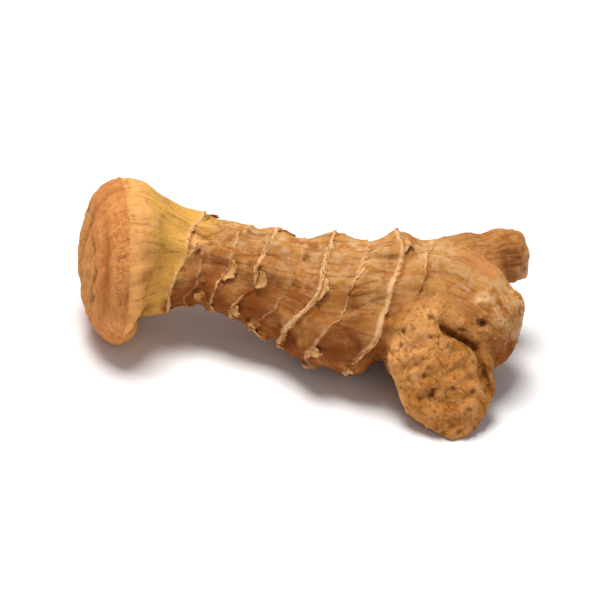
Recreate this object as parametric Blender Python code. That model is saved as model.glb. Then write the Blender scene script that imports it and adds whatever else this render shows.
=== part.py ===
"""A piece of dried galangal rhizome, about 60 mm long.

The finger lies along X. Its flared cut face looks left, and its knuckle is on the right. From the
knuckle a broken branch stump comes forward, a horn goes back and up, and a low lobe goes back and down.
It grew as one body, so every limb, ring crest, root stub and scale rag is fused into one solid, which
rests on three small flat spots.
"""

import math

import bmesh
import bpy
import numpy as np
from mathutils import Matrix, Vector

NAME = "galangal_rhizome"
MM = 0.001  # the sizes below are in millimetres, and Blender works in metres
SEED = 11

# Each limb's middle line, from root to tip: x, y, z, half width and half height of the section
TRUNK = (
    (-23.8, 4.2, 10.6, 10.6, 10.9),
    (-21.6, 5.4, 10.6, 9.8, 10.1),
    (-18.6, 6.1, 10.2, 7.4, 7.8),
    (-14.6, 6.4, 10.0, 6.0, 6.4),
    (-10.0, 5.9, 9.9, 5.4, 5.8),
    (-4.4, 4.1, 9.9, 5.8, 6.0),
    (1.0, 2.1, 9.6, 6.8, 6.8),
    (6.0, 0.5, 9.7, 8.2, 7.9),
    (11.0, 0.1, 9.7, 8.7, 8.5),
    (16.2, 0.7, 9.6, 8.3, 8.2),
    (21.2, -0.1, 9.2, 7.8, 7.6),
    (25.2, -2.1, 8.3, 6.0, 6.0),
)
STUMP = (
    (16.8, 1.5, 9.0, 6.0, 6.4),
    (17.6, -4.7, 8.6, 7.0, 8.0),
    (18.7, -9.9, 7.6, 6.0, 9.5),
)
HORN = (
    (17.2, 2.5, 11.2, 5.4, 5.4),
    (21.4, 5.7, 12.2, 4.5, 4.8),
    (25.4, 7.6, 12.7, 3.5, 3.7),
    (28.8, 8.6, 12.8, 2.8, 3.0),
)
LOBE = (
    (16.8, 2.1, 7.6, 6.0, 6.0),
    (18.4, 7.1, 5.7, 5.2, 5.4),
    (19.6, 10.5, 4.1, 4.2, 4.5),
)

# How the ends are finished
CUT_FACE = (-0.977, -0.203, 0.059)  # the dried cut looks left, a little forward and up
STUMP_FACE = (0.12, -0.82, 0.56)  # the broken branch looks forward and up
STUMP_UPRIGHT = (-0.3, 0.0, 1.0)  # the long way of its oval section leans left at the top
TURN_LENGTH = 8.0  # over this length the sections turn from the middle line to the face
CUT_BULGE = 5.2  # how far the cut face stands out of the rim
CUT_FLATNESS = 2.1  # 2 is a round dome, more is flatter with a tighter rim
CUT_GROOVE = (0.55, 1.0)  # depth and width of the upright crease in the cut face
CUT_GRAIN = 0.25  # roughness of the cut face
TRUNK_DOME = 3.6
STUMP_DOME = 2.2
HORN_DOME = 0.9
LOBE_DOME = 3.4
CLEFT = (1.8, 0.9)  # depth and width of the split in the stump's face
# At its top the split is this far right, and going down this height it bends this much more
CLEFT_BEND = (1.6, 3.4, 5.5)
CLEFT_SHARE = 0.6  # the split fades out past this share of that height

# Ring scars left by the scale leaves: x on the trunk, height of the crest
SCARS = (
    (-14.0, 0.50),
    (-11.0, 0.22),
    (-7.4, 0.32),
    (-4.0, 0.48),
    (-0.6, 0.22),
    (2.8, 0.70),
    (7.4, 0.28),
    (12.4, 0.52),
    (16.2, 0.40),
)
LIP_WIDTH = 0.45
SWELL_WIDTH = 1.5
SWELL_SHARE = 0.55  # the swell's height, as a share of the crest's
SCAR_RINGS = (-0.55, -0.2, 0.1, 0.5)  # rings of points round each crest, along the root
WAVE = 0.5  # how far a ring wanders along the root
SLANT = (3.5, 6.8)  # how far the rings lean left low on the front: near the flare, near the knuckle
SLANT_FROM, SLANT_OVER = -1.0, 14.0  # x where the lean starts to grow, and over what length
SLANT_ANGLE = math.radians(135)  # where they lean most, turning from the top to the front
KINK = (2.8, 2.6, 5.0, math.radians(72))  # the boldest ring's step to the right: x, size, width and angle
RING_FOCUS = 3  # how closely the lean and the kink keep to their own side of the root

# Dried folds along the root, and lumps all over it
FOLDS = 9
FOLD_DEPTH = 0.28
SKIN_FADE = (9.0, 8.0)  # folds and waves die out over these lengths, at the cut end and at the far end
LUMP_SIZE = 6.0
LUMP_DEPTH = 0.4
GRAIN_SIZE = 2.4
BREAK_DEPTH = 0.45  # roughness of a broken end
BREAK_FULL = 6.0  # half width from which an end is as rough as that

# Stubs of the thin roots, mostly under the finger, and rags of the scale leaves on the ring scars
ROOT_STUBS = 30
STUB_RADIUS = (0.7, 1.15)
STUB_LENGTH = (0.35, 1.1)
STUB_SUNK = 1.8
STUB_LEAN = 0.35
STUB_SIDE = (185, 42)  # degrees from the top, turning forward: where the stubs gather, and their spread
STUB_TAPER = 0.6  # the tip's radius, as a share of the foot's
STUB_CLEARANCE = 0.6  # a stub stays this far above the floor
RAGS_PER_SCAR = 3
RAG_THICKNESS = 0.65
RAG_WIDTH = (2.0, 3.6)
RAG_LENGTH = (1.0, 1.9)
RAG_ROOT = 1.0  # how far back of its ring a rag is rooted
RAG_LIFT = math.radians(13)

# Distances between the rings of points along the limbs, and how near a scar no other ring goes
TRUNK_STEP = 1.7
BRANCH_STEP = 1.6
SCAR_ROOM = 0.8

COLOUR = (0.41, 0.163, 0.049, 1.0)
ROUGHNESS = 0.78


def unit(v):
    """Vectors made one long, along the last axis."""
    v = np.asarray(v, float)
    return v / np.linalg.norm(v, axis=-1, keepdims=True)


def smoothstep(x):
    """0 below 0, 1 above 1, and 3x^2 - 2x^3 between."""
    x = np.clip(x, 0.0, 1.0)
    return x * x * (3 - 2 * x)


def through(stations, t):
    """Cubic Hermite curve through numbered stations, read at the numbers t."""
    rows = np.array(stations)
    slope = np.gradient(rows, axis=0)
    i = np.clip(t.astype(int), 0, len(rows) - 2)
    f = (t - i)[:, None]
    near = (1 + 2 * f) * (1 - f) ** 2 * rows[i] + f * (1 - f) ** 2 * slope[i]
    far = f**2 * (3 - 2 * f) * rows[i + 1] + f**2 * (f - 1) * slope[i + 1]
    return near + far


def plane_waves(points, size, seed):
    """Smooth noise of about -1 to 1: a sum of sine waves in seeded directions, with a mean length of size."""
    rng = np.random.default_rng(seed)
    count = 14
    direction = unit(rng.normal(size=(count, 3)))
    length = size * rng.uniform(0.7, 1.6, count)
    phase = rng.uniform(0, 2 * np.pi, count)
    waves = np.sin(points @ (direction * (2 * np.pi / length)[:, None]).T + phase)
    return waves.sum(axis=-1) / math.sqrt(count)


class Limb:
    """A closed skin carried along a middle line, as rings of points between two poles."""

    def __init__(self, stations, sides, step, start=None, end=None, upright=(0, 0, 1), scars=()):
        dense = np.linspace(0, len(stations) - 1, 400)
        line = through(stations, dense)
        travelled = np.linalg.norm(np.diff(line[:, :3], axis=0), axis=1)
        reach = np.concatenate([[0.0], np.cumsum(travelled)])
        self.length = reach[-1]
        self.scars = [(np.interp(x, line[:, 0], reach), height) for x, height in scars]
        self.s = self.places(step)
        rows = through(stations, np.interp(self.s, reach, dense))
        self.centre, self.half_width, self.half_height = rows[:, :3], rows[:, 3], rows[:, 4]
        self.angle = np.arange(sides) * 2 * np.pi / sides
        self.along = self.directions(start, end)
        self.side = unit(np.cross(self.along, upright))
        self.up = np.cross(self.side, self.along)

    def places(self, step):
        """Where the rings go: one each step, and a few more round each scar."""
        s = np.linspace(0, self.length, max(3, round(self.length / step) + 1))
        for at, _ in self.scars:
            s = s[abs(s - at) > SCAR_ROOM]
        crests = [at + off for at, _ in self.scars for off in SCAR_RINGS]
        return np.sort(np.concatenate([s, crests]))

    def directions(self, start, end):
        """The way each ring looks: along the line, turned to the end faces near them."""
        along = unit(np.gradient(self.centre, self.s, axis=0))
        if start is not None:
            share = smoothstep(1 - self.s / TURN_LENGTH)[:, None]
            along = unit(along * (1 - share) - unit(start) * share)
        if end is not None:
            share = smoothstep(1 - (self.length - self.s) / TURN_LENGTH)[:, None]
            along = unit(along * (1 - share) + unit(end) * share)
        return along

    def rings(self, row=None, share=1.0, push=0.0):
        """All the limb's rings, or one of them shrunk to shares of its size and pushed along the line."""
        pick = np.arange(len(self.s)) if row is None else np.full(len(share), row)
        sin, cos = np.sin(self.angle)[:, None], np.cos(self.angle)[:, None]
        wide = (self.half_width[pick, None] * self.side[pick])[:, None] * sin
        high = (self.half_height[pick, None] * self.up[pick])[:, None] * cos
        share, push = np.reshape(share, (-1, 1, 1)), np.reshape(push, (-1, 1, 1))
        return self.centre[pick][:, None] + push * self.along[pick][:, None] + share * (wide + high)

    def outward(self, points):
        """Directions from the middle line to the points, square to it."""
        away = points - self.centre[:, None]
        return unit(away - (away * self.along[:, None]).sum(axis=-1, keepdims=True) * self.along[:, None])


def scar_crests(s, angle, scars):
    """Outward rise at the ring scars: a broad swell with a sharp lip of uneven height on it."""
    rise = np.zeros(np.broadcast(s, angle).shape)
    for number, (at, height) in enumerate(scars):
        uneven = 0.75 + 0.25 * np.sin(5 * angle + 2.1 * number) * np.sin(2 * angle + number)
        rise += height * SWELL_SHARE * np.exp(-(((s - at) / SWELL_WIDTH) ** 2))
        rise += height * uneven * np.exp(-(((s - at) / LIP_WIDTH) ** 2))
    return rise


def near_angle(angle, centre, power):
    """1 at the centre angle, falling smoothly to 0 on the far side of the root."""
    return ((1 + np.cos(angle - centre)) / 2) ** power


def ring_wave(x, angle):
    """How far along the root each ring wanders: a slant round the branch, one bold kink, and a light wave."""
    lean = SLANT[0] + (SLANT[1] - SLANT[0]) * smoothstep((x - SLANT_FROM) / SLANT_OVER)
    kink_x, kink_size, kink_width, kink_angle = KINK
    kink = kink_size * np.exp(-(((x - kink_x) / kink_width) ** 2)) * near_angle(angle, kink_angle, RING_FOCUS)
    light = np.sin(2 * angle + 0.23 * x) + 0.5 * np.sin(5 * angle + 1.1 * x)
    return kink - lean * near_angle(angle, SLANT_ANGLE, RING_FOCUS) + WAVE * light


def folds(s, angle):
    """Dried folds along the root, which drift a little sideways as they run."""
    drift = 0.06 * np.sin(0.21 * s) + 0.04 * np.sin(0.5 * s + 1.0)
    return FOLD_DEPTH * np.sin(FOLDS * (angle + drift) + 1.5 * np.sin(2 * angle))


def trunk_skin(limb):
    """The finger's side: its rings raised by scars, folds and lumps, and shifted along by the ring wave."""
    plain = limb.rings()
    s, angle = limb.s[:, None], limb.angle[None, :]
    inner = smoothstep(s / SKIN_FADE[0]) * smoothstep((limb.length - s) / SKIN_FADE[1])
    rise = scar_crests(s, angle, limb.scars) + inner * folds(s, angle)
    rise += LUMP_DEPTH * plane_waves(plain, LUMP_SIZE, SEED)
    wander = inner * ring_wave(limb.centre[:, :1], angle)
    return plain + rise[..., None] * limb.outward(plain) + wander[..., None] * limb.along[:, None]


def cut_face(limb):
    """The dried cut: a flat bulge out of the rim, with an upright crease and a fibrous grain."""
    share = np.array([0.0, 0.3, 0.55, 0.75, 0.88, 0.96])
    bulge = CUT_BULGE * (1 - share**CUT_FLATNESS) ** (1 / CUT_FLATNESS)
    face = limb.rings(0, share, -bulge)
    across = (face - limb.centre[0]) @ limb.side[0]
    depth, width = CUT_GROOVE
    sunk = depth * np.exp(-((across / width) ** 2)) * (1 - share[:, None] ** 2)
    sunk += CUT_GRAIN * plane_waves(face, GRAIN_SIZE, SEED + 1) * (share[:, None] > 0)
    face += sunk[..., None] * limb.along[0]
    return face[1:], face[0].mean(axis=0)


def domed_end(limb, height, steps=6):
    """Rings that close the far end in a dome, and its pole."""
    turn = np.linspace(0, np.pi / 2, steps + 1)[1:]
    rings = limb.rings(len(limb.s) - 1, np.cos(turn), height * np.sin(turn))
    return rings[:-1], rings[-1].mean(axis=0)


def stump_cleft(limb, cap):
    """Depth of the split in the stump's face, which bends to the right on its way down."""
    across = -((cap - limb.centre[-1]) @ limb.side[-1])
    height = (cap - limb.centre[-1]) @ limb.up[-1]
    first, more, reach = CLEFT_BEND
    line = first + more * smoothstep((reach - height) / reach)
    depth, width = CLEFT
    split = depth * np.exp(-(((across - line) / width) ** 2))
    return split * smoothstep(2 - abs(height) / (CLEFT_SHARE * reach))


def mesh_of(name, rings, first, last):
    """One closed mesh from rings of points and the two poles that end it."""
    rows, sides = rings.shape[:2]
    points = np.concatenate([[first], rings.reshape(-1, 3), [last]])
    i, j = np.meshgrid(np.arange(rows - 1), np.arange(sides), indexing="ij")
    here, beside = 1 + i * sides + j, 1 + i * sides + (j + 1) % sides
    quads = np.stack([here, beside, beside + sides, here + sides], axis=-1).reshape(-1, 4)
    ring = np.arange(sides)
    after = (ring + 1) % sides
    top = 1 + (rows - 1) * sides
    start = np.stack([np.zeros_like(ring), 1 + after, 1 + ring], axis=1)
    end = np.stack([np.full_like(ring, top + sides), top + ring, top + after], axis=1)
    mesh = bpy.data.meshes.new(name)
    mesh.from_pydata((points * MM).tolist(), [], quads.tolist() + start.tolist() + end.tolist())
    return mesh


def make_trunk(limb):
    """The finger: the cut face, the flare, the ringed skin and a domed far end."""
    face, face_pole = cut_face(limb)
    cap, cap_pole = domed_end(limb, TRUNK_DOME)
    cap += LUMP_DEPTH * plane_waves(cap, LUMP_SIZE, SEED)[..., None] * unit(cap - limb.centre[-1])
    return mesh_of("trunk", np.concatenate([face, trunk_skin(limb), cap]), face_pole, cap_pole)


def make_branch(name, limb, dome, cleft=False):
    """A side limb sunk into the knuckle, with a broken, uneven end."""
    skin = limb.rings()
    skin += LUMP_DEPTH * plane_waves(skin, LUMP_SIZE, SEED + 2)[..., None] * limb.outward(skin)
    cap, pole = domed_end(limb, dome)
    rough = BREAK_DEPTH * min(1.0, limb.half_width[-1] / BREAK_FULL)
    rise = rough * plane_waves(cap, GRAIN_SIZE, SEED + 3)
    if cleft:
        inner = np.linspace(0, 1, len(cap) + 2)[1:-1, None]
        rise -= stump_cleft(limb, cap) * smoothstep(2 * inner)
    cap += rise[..., None] * limb.along[-1]
    return mesh_of(name, np.concatenate([skin, cap]), limb.centre[0], pole)


def surface_place(limb, skin, row, column):
    """A point of the skin with its outward and lengthwise directions, as Blender vectors in millimetres."""
    point = Vector(skin[row, column])
    outward = (point - Vector(limb.centre[row])).normalized()
    return point, outward, Vector(limb.along[row])


def facing(outward, lengthwise):
    """A turn that takes local z outward and local x as near along the root as it can."""
    across = outward.cross(lengthwise).normalized()
    return Matrix((across.cross(outward), across, outward)).transposed().to_4x4()


def root_stub(place, rng):
    """A broken thin root: a six-sided cone sunk into the skin, leaning a little."""
    point, outward, lengthwise = place
    lean = Vector(rng.uniform(-STUB_LEAN, STUB_LEAN, 3))
    outward = (outward + lean).normalized()
    radius, length = rng.uniform(*STUB_RADIUS), rng.uniform(*STUB_LENGTH)
    depth = length + STUB_SUNK
    middle = point + outward * (depth / 2 - STUB_SUNK)
    if (point + outward * length).z - radius < STUB_CLEARANCE:
        return None
    bm = bmesh.new()
    bmesh.ops.create_cone(
        bm,
        cap_ends=True,
        segments=6,
        radius1=radius * MM,
        radius2=STUB_TAPER * radius * MM,
        depth=depth * MM,
        matrix=Matrix.Translation(middle * MM) @ facing(outward, lengthwise),
    )
    return bm


def scale_rag(place, rng):
    """What is left of a scale leaf: a short blade rooted on the ring scar, narrower and lifted at its tip."""
    point, outward, lengthwise = place
    width, length = rng.uniform(*RAG_WIDTH), rng.uniform(*RAG_LENGTH)
    bm = bmesh.new()
    bmesh.ops.create_cube(bm, size=1.0)
    for vertex in bm.verts:
        tip = vertex.co.x > 0
        vertex.co.x = length if tip else -RAG_ROOT
        vertex.co.y *= width * (rng.uniform(0.2, 0.6) if tip else 1.0)
        vertex.co.z *= RAG_THICKNESS
    turn = facing(outward, lengthwise) @ Matrix.Rotation(-RAG_LIFT, 4, "Y")
    bm.transform(Matrix.Diagonal((MM, MM, MM, 1)) @ Matrix.Translation(point) @ turn)
    return bm


def small_growths(limb, skin):
    """The root stubs and scale rags, each as a closed bmesh."""
    rng = np.random.default_rng(SEED)
    sides = len(limb.angle)
    scar_rows = [int(np.argmin(abs(limb.s - at))) for at, _ in limb.scars]
    for _ in range(ROOT_STUBS):
        row = int(rng.choice(scar_rows[1:])) + int(rng.integers(-1, 3))
        angle = np.radians(rng.normal(*STUB_SIDE))
        column = int(round(angle / (2 * np.pi) * sides)) % sides
        yield "root_stub", root_stub(surface_place(limb, skin, row, column), rng)
    for row in scar_rows[:-1]:
        for column in rng.integers(0, sides, RAGS_PER_SCAR):
            yield "scale_rag", scale_rag(surface_place(limb, skin, row + 1, column), rng)


def add_object(collection, mesh):
    """A new object in the collection, named as its mesh."""
    obj = bpy.data.objects.new(mesh.name, mesh)
    collection.objects.link(obj)
    return obj


def fuse(body, growths):
    """Joins everything in the growths collection to the body by one Boolean union, and applies it."""
    join = body.modifiers.new("Fuse growths", "BOOLEAN")
    join.operation = "UNION"
    join.operand_type = "COLLECTION"
    join.collection = growths
    join.solver = "EXACT"
    seen = body.evaluated_get(bpy.context.evaluated_depsgraph_get())
    body.data = bpy.data.meshes.new_from_object(seen)
    body.modifiers.clear()
    for obj in list(growths.objects):
        bpy.data.objects.remove(obj)
    bpy.data.collections.remove(growths)


def rest_on_floor(mesh):
    """Cuts the low points flat at z = 0, closes the cuts, and puts the middle of the box over the origin."""
    bm = bmesh.new()
    bm.from_mesh(mesh)
    everything = bm.verts[:] + bm.edges[:] + bm.faces[:]
    bmesh.ops.bisect_plane(bm, geom=everything, plane_co=(0, 0, 0), plane_no=(0, 0, 1), clear_inner=True)
    bmesh.ops.holes_fill(bm, edges=[edge for edge in bm.edges if edge.is_boundary])
    points = np.array([vertex.co for vertex in bm.verts])
    middle = (points.min(axis=0) + points.max(axis=0)) / 2
    bm.transform(Matrix.Translation((-middle[0], -middle[1], 0)))
    bm.to_mesh(mesh)
    bm.free()


def skin_material():
    """Dull brown dried root skin."""
    material = bpy.data.materials.new("dried_root")
    material.use_nodes = True
    shader = material.node_tree.nodes["Principled BSDF"]
    shader.inputs["Base Color"].default_value = COLOUR
    shader.inputs["Roughness"].default_value = ROUGHNESS
    shader.inputs["Metallic"].default_value = 0.0
    return material


def main():
    for obj in list(bpy.data.objects):
        bpy.data.objects.remove(obj)
    parts = bpy.data.collections.new("galangal")
    growths = bpy.data.collections.new("growths")
    bpy.context.scene.collection.children.link(parts)
    bpy.context.scene.collection.children.link(growths)
    trunk = Limb(TRUNK, sides=36, step=TRUNK_STEP, start=CUT_FACE, scars=SCARS)
    body = add_object(parts, make_trunk(trunk))
    body.name = NAME
    stump = Limb(STUMP, 26, BRANCH_STEP, end=STUMP_FACE, upright=STUMP_UPRIGHT)
    horn = Limb(HORN, 16, BRANCH_STEP)
    lobe = Limb(LOBE, 18, BRANCH_STEP)
    add_object(growths, make_branch("stump", stump, STUMP_DOME, cleft=True))
    add_object(growths, make_branch("horn", horn, HORN_DOME))
    add_object(growths, make_branch("lobe", lobe, LOBE_DOME))
    for name, bm in small_growths(trunk, trunk_skin(trunk)):
        if bm is not None:
            mesh = bpy.data.meshes.new(name)
            bm.to_mesh(mesh)
            bm.free()
            add_object(growths, mesh)
    fuse(body, growths)
    rest_on_floor(body.data)
    body.data.name = NAME
    body.data.materials.clear()
    body.data.materials.append(skin_material())
    body.data.shade_smooth()


main()
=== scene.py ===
# %% [markdown]
# # A dried piece of galangal
#
# Galangal is a relative of ginger. Its rhizome is a swollen stem that creeps through the soil, and the
# dried one is brown, wrinkled and ringed. The plain solid of this piece is already made, and this lesson
# gives it the skin of the real thing. First comes the frame: the solid, in metres, at its real place.

# %% Load the solid that the skin has to follow
import math

import bpy
import numpy as np
from mathutils import Matrix, Vector


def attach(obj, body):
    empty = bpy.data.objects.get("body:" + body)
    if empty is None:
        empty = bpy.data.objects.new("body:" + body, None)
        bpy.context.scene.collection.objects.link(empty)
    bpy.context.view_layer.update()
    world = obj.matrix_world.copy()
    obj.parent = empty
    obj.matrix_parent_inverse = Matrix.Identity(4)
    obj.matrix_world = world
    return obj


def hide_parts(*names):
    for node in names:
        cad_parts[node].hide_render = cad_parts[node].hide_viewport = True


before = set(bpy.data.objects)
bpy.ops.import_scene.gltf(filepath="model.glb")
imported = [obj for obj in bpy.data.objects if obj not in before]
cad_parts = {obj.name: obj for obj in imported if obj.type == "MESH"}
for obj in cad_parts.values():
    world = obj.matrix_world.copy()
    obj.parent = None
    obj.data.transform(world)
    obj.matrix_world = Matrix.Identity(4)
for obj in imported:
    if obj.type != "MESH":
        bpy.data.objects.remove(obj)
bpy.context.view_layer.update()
NODE = "galangal_rhizome"

# %% [markdown]
# ## The root's own measures
#
# A rhizome has one stem, here called the trunk, and side shoots. This piece has a trunk with a flared cut
# end on the left, a broken stump that comes forward, a horn and a low lobe. Each is drawn as a middle line
# with an oval section at each station. They could be sculpted by hand, but a table of a few stations is
# easier to read and to change, and it is the one that the solid was made from.

# %% The limbs, in millimetres: x, y, z, half width, half height
MM = 0.001
SEED = 11

TRUNK = (
    (-23.8, 4.2, 10.6, 10.6, 10.9),
    (-21.6, 5.4, 10.6, 9.8, 10.1),
    (-18.6, 6.1, 10.2, 7.4, 7.8),
    (-14.6, 6.4, 10.0, 6.0, 6.4),
    (-10.0, 5.9, 9.9, 5.4, 5.8),
    (-4.4, 4.1, 9.9, 5.8, 6.0),
    (1.0, 2.1, 9.6, 6.8, 6.8),
    (6.0, 0.5, 9.7, 8.2, 7.9),
    (11.0, 0.1, 9.7, 8.7, 8.5),
    (16.2, 0.7, 9.6, 8.3, 8.2),
    (21.2, -0.1, 9.2, 7.8, 7.6),
    (25.2, -2.1, 8.3, 6.0, 6.0),
)
STUMP = ((16.8, 1.5, 9.0, 6.0, 6.4), (17.6, -4.7, 8.6, 7.0, 8.0), (18.7, -9.9, 7.6, 6.0, 9.5))
HORN = (
    (17.2, 2.5, 11.2, 5.4, 5.4),
    (21.4, 5.7, 12.2, 4.5, 4.8),
    (25.4, 7.6, 12.7, 3.5, 3.7),
    (28.8, 8.6, 12.8, 2.8, 3.0),
)
LOBE = ((16.8, 2.1, 7.6, 6.0, 6.0), (18.4, 7.1, 5.7, 5.2, 5.4), (19.6, 10.5, 4.1, 4.2, 4.5))
CENTRE = (0.252, -0.091, 0.0)  # the tables' origin is this far from the middle of the solid's box

# The ends: which way they look, how far they stand out, and what splits them
CUT_FACE = (-0.977, -0.203, 0.059)
STUMP_FACE = (0.12, -0.82, 0.56)
STUMP_UPRIGHT = (-0.3, 0.0, 1.0)  # the long way of its oval section leans left at the top
TURN_LENGTH = 8.0  # over this length the sections turn from the middle line to the face
CUT_BULGE, CUT_FLATNESS = 5.2, 2.1  # a flatness of 2 is a round dome, and more has a tighter rim
CUT_GROOVE = (0.55, 1.0)  # depth and width of the crease
TRUNK_DOME, STUMP_DOME, HORN_DOME, LOBE_DOME = 3.6, 2.2, 0.9, 3.4
CLEFT = (1.8, 0.9)  # depth and width of the split in the stump's face
CLEFT_BEND = (1.6, 3.4, 5.5)  # how far right it is at the top, how much more below, and over what height
CLEFT_SHARE = 0.6  # the split fades out past this share of that height

# %% The ring scars: x on the trunk and height of the crest, and how they wander round the root
SCARS = (
    (-14.0, 0.50),
    (-11.0, 0.22),
    (-7.4, 0.32),
    (-4.0, 0.48),
    (-0.6, 0.22),
    (2.8, 0.70),
    (7.4, 0.28),
    (12.4, 0.52),
    (16.2, 0.40),
)
LIP_WIDTH, SWELL_WIDTH, SWELL_SHARE = 0.45, 1.5, 0.55
WAVE = 0.5  # how far a ring waves along the root
SLANT = (3.5, 6.8)  # how far the rings lean left low on the front: near the flare, near the knuckle
SLANT_FROM, SLANT_OVER = -1.0, 14.0  # x where the lean starts to grow, and over what length
SLANT_ANGLE = math.radians(135)  # where they lean most, turning from the top to the front
KINK = (2.8, 2.6, 5.0, math.radians(72))  # the boldest ring's step to the right: x, size, width and angle
RING_FOCUS = 3  # how closely the lean and the kink keep to their own side of the root
FOLDS, FOLD_DEPTH = 9, 0.28
SKIN_FADE = (9.0, 8.0)  # folds and waves die out over these lengths, at the cut end and at the far end
LUMP_SIZE, LUMP_DEPTH = 6.0, 0.4
GRAIN_SIZE, BREAK_DEPTH = 2.4, 0.45
BREAK_FULL = 6.0  # half width from which a broken end is as rough as that

# %% [markdown]
# ## Smooth helpers and noise
#
# Nothing on a root is straight or even. Two kinds of noise give the unevenness: a sum of a few long waves
# for the lumps that the solid has too, and gradient noise for the fine skin. The noise that comes with
# mathutils is read one point at a time. Here whole arrays are worked out at once, from a fixed seed, so
# that each run gives the same root.

# %% Helpers
def unit(v):
    """Vectors made one long, along the last axis."""
    v = np.asarray(v, float)
    return v / np.linalg.norm(v, axis=-1, keepdims=True)


def dot(a, b):
    """Sum of products along the last axis."""
    return (a * b).sum(axis=-1)


def smoothstep(x):
    """0 below 0, 1 above 1, and 3x^2 - 2x^3 between."""
    x = np.clip(x, 0.0, 1.0)
    return x * x * (3 - 2 * x)


def bell(x, width):
    """exp(-(x / width)^2): 1 at 0, falling to nothing a few widths away."""
    return np.exp(-((x / width) ** 2))


def near_angle(angle, centre, power):
    """1 at the centre angle, falling smoothly to 0 on the far side of the root."""
    return ((1 + np.cos(angle - centre)) / 2) ** power


def plane_waves(points, size, seed):
    """A sum of sine waves in seeded directions, with a mean length of size."""
    rng = np.random.default_rng(seed)
    count = 14
    direction = unit(rng.normal(size=(count, 3)))
    length = size * rng.uniform(0.7, 1.6, count)
    phase = rng.uniform(0, 2 * np.pi, count)
    waves = np.sin(points @ (direction * (2 * np.pi / length)[:, None]).T + phase)
    return waves.sum(axis=-1) / math.sqrt(count)


NOISE_CELLS = 256


def noise(points, size, seed):
    """Gradient noise of about -1 to 1: seeded slopes at the corners of cells of that size, blended with
    the fade 6f^5 - 15f^4 + 10f^3."""
    rng = np.random.default_rng(seed)
    order, slopes = rng.permutation(NOISE_CELLS), unit(rng.normal(size=(NOISE_CELLS, 3)))
    place = points / size
    cell = np.floor(place).astype(int)
    inside = place - cell
    fade = inside**3 * (inside * (inside * 6 - 15) + 10)
    total = 0.0
    for corner in np.ndindex(2, 2, 2):
        at = (cell + corner) % NOISE_CELLS
        picked = order[(order[at[..., 0]] + at[..., 1]) % NOISE_CELLS]
        picked = order[(picked + at[..., 2]) % NOISE_CELLS]
        weight = np.where(corner, fade, 1 - fade).prod(axis=-1)
        total = total + weight * dot(inside - corner, slopes[picked])
    return 1.6 * total


def rough(points, size, seed, octaves=3):
    """Noise at the size and its halves, each half as strong."""
    total = sum(noise(points, size / 2**k, seed + k) / 2**k for k in range(octaves))
    return total / (2 - 2 ** (1 - octaves))


test = noise(np.random.default_rng(1).uniform(0, 50, (4000, 3)), 2.0, 5)
print("noise runs from", round(test.min(), 2), "to", round(test.max(), 2))

# %% [markdown]
# ## A limb as a place to measure from
#
# Each limb's stations are joined by a smooth cubic line. Along it the lesson needs, at any length, the
# middle point, the two half sizes and three directions: along the limb, to the side and up. With those, a
# point of the surface is a function of two numbers only, the length along the limb and the turn round it.

# %% Limbs
def through(stations, t):
    """Cubic Hermite curve through numbered stations, read at the numbers t."""
    rows = np.array(stations)
    slope = np.gradient(rows, axis=0)
    i = np.clip(t.astype(int), 0, len(rows) - 2)
    f = (t - i)[:, None]
    near = (1 + 2 * f) * (1 - f) ** 2 * rows[i] + f * (1 - f) ** 2 * slope[i]
    far = f**2 * (3 - 2 * f) * rows[i + 1] + f**2 * (f - 1) * slope[i + 1]
    return near + far


class Limb:
    """A middle line with oval sections, read at any length s along it. Start and end, where they are given,
    are the ways it runs at its two faces."""

    def __init__(self, stations, domes, start=None, end=None, upright=(0, 0, 1), scars=()):
        dense = np.linspace(0, len(stations) - 1, 400)
        line = through(stations, dense)
        travelled = np.linalg.norm(np.diff(line[:, :3], axis=0), axis=1)
        reach = np.concatenate([[0.0], np.cumsum(travelled)])
        self.length, self.domes = reach[-1], domes
        self.scars = [(np.interp(x, line[:, 0], reach), height) for x, height in scars]
        self.s = np.linspace(0, self.length, round(self.length / 0.2) + 1)
        rows = through(stations, np.interp(self.s, reach, dense))
        along = unit(np.gradient(rows[:, :3], self.s, axis=0))
        for way, near in ((start, self.s), (end, self.length - self.s)):
            if way is not None:
                share = smoothstep(1 - near / TURN_LENGTH)[:, None]
                along = unit(along * (1 - share) + unit(way) * share)
        side = unit(np.cross(along, upright))
        self.table = np.hstack([rows[:, :3], along, side, np.cross(side, along), rows[:, 3:]])

    def at(self, s):
        """Centre, along, side, up, half width and half height where the length along the limb is s."""
        row = np.stack([np.interp(s, self.s, column) for column in self.table.T], axis=-1)
        return row[..., :3], row[..., 3:6], row[..., 6:9], row[..., 9:12], row[..., 12:13], row[..., 13:14]

    def ring(self, s, angle, share=1.0, push=0.0):
        """centre + push along + share * (half width * sin(angle) * side + half height * cos(angle) * up)."""
        centre, along, side, up, wide, high = self.at(s)
        sin, cos = np.sin(angle)[..., None], np.cos(angle)[..., None]
        share, push = np.asarray(share)[..., None], np.asarray(push)[..., None]
        return centre + push * along + share * (wide * sin * side + high * cos * up)

    def outward(self, s, points):
        """Directions from the middle line to the points, square to it."""
        centre, along = self.at(s)[:2]
        away = points - centre
        return unit(away - dot(away, along)[..., None] * along)


trunk = Limb(TRUNK, (CUT_BULGE, TRUNK_DOME), start=[-part for part in CUT_FACE], scars=SCARS)
stump = Limb(STUMP, (0.1, STUMP_DOME), end=STUMP_FACE, upright=STUMP_UPRIGHT)
horn = Limb(HORN, (0.1, HORN_DOME))
lobe = Limb(LOBE, (0.1, LOBE_DOME))
LIMBS = (trunk, stump, horn, lobe)
print("limb lengths in mm:", [round(limb.length, 1) for limb in LIMBS])

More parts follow.
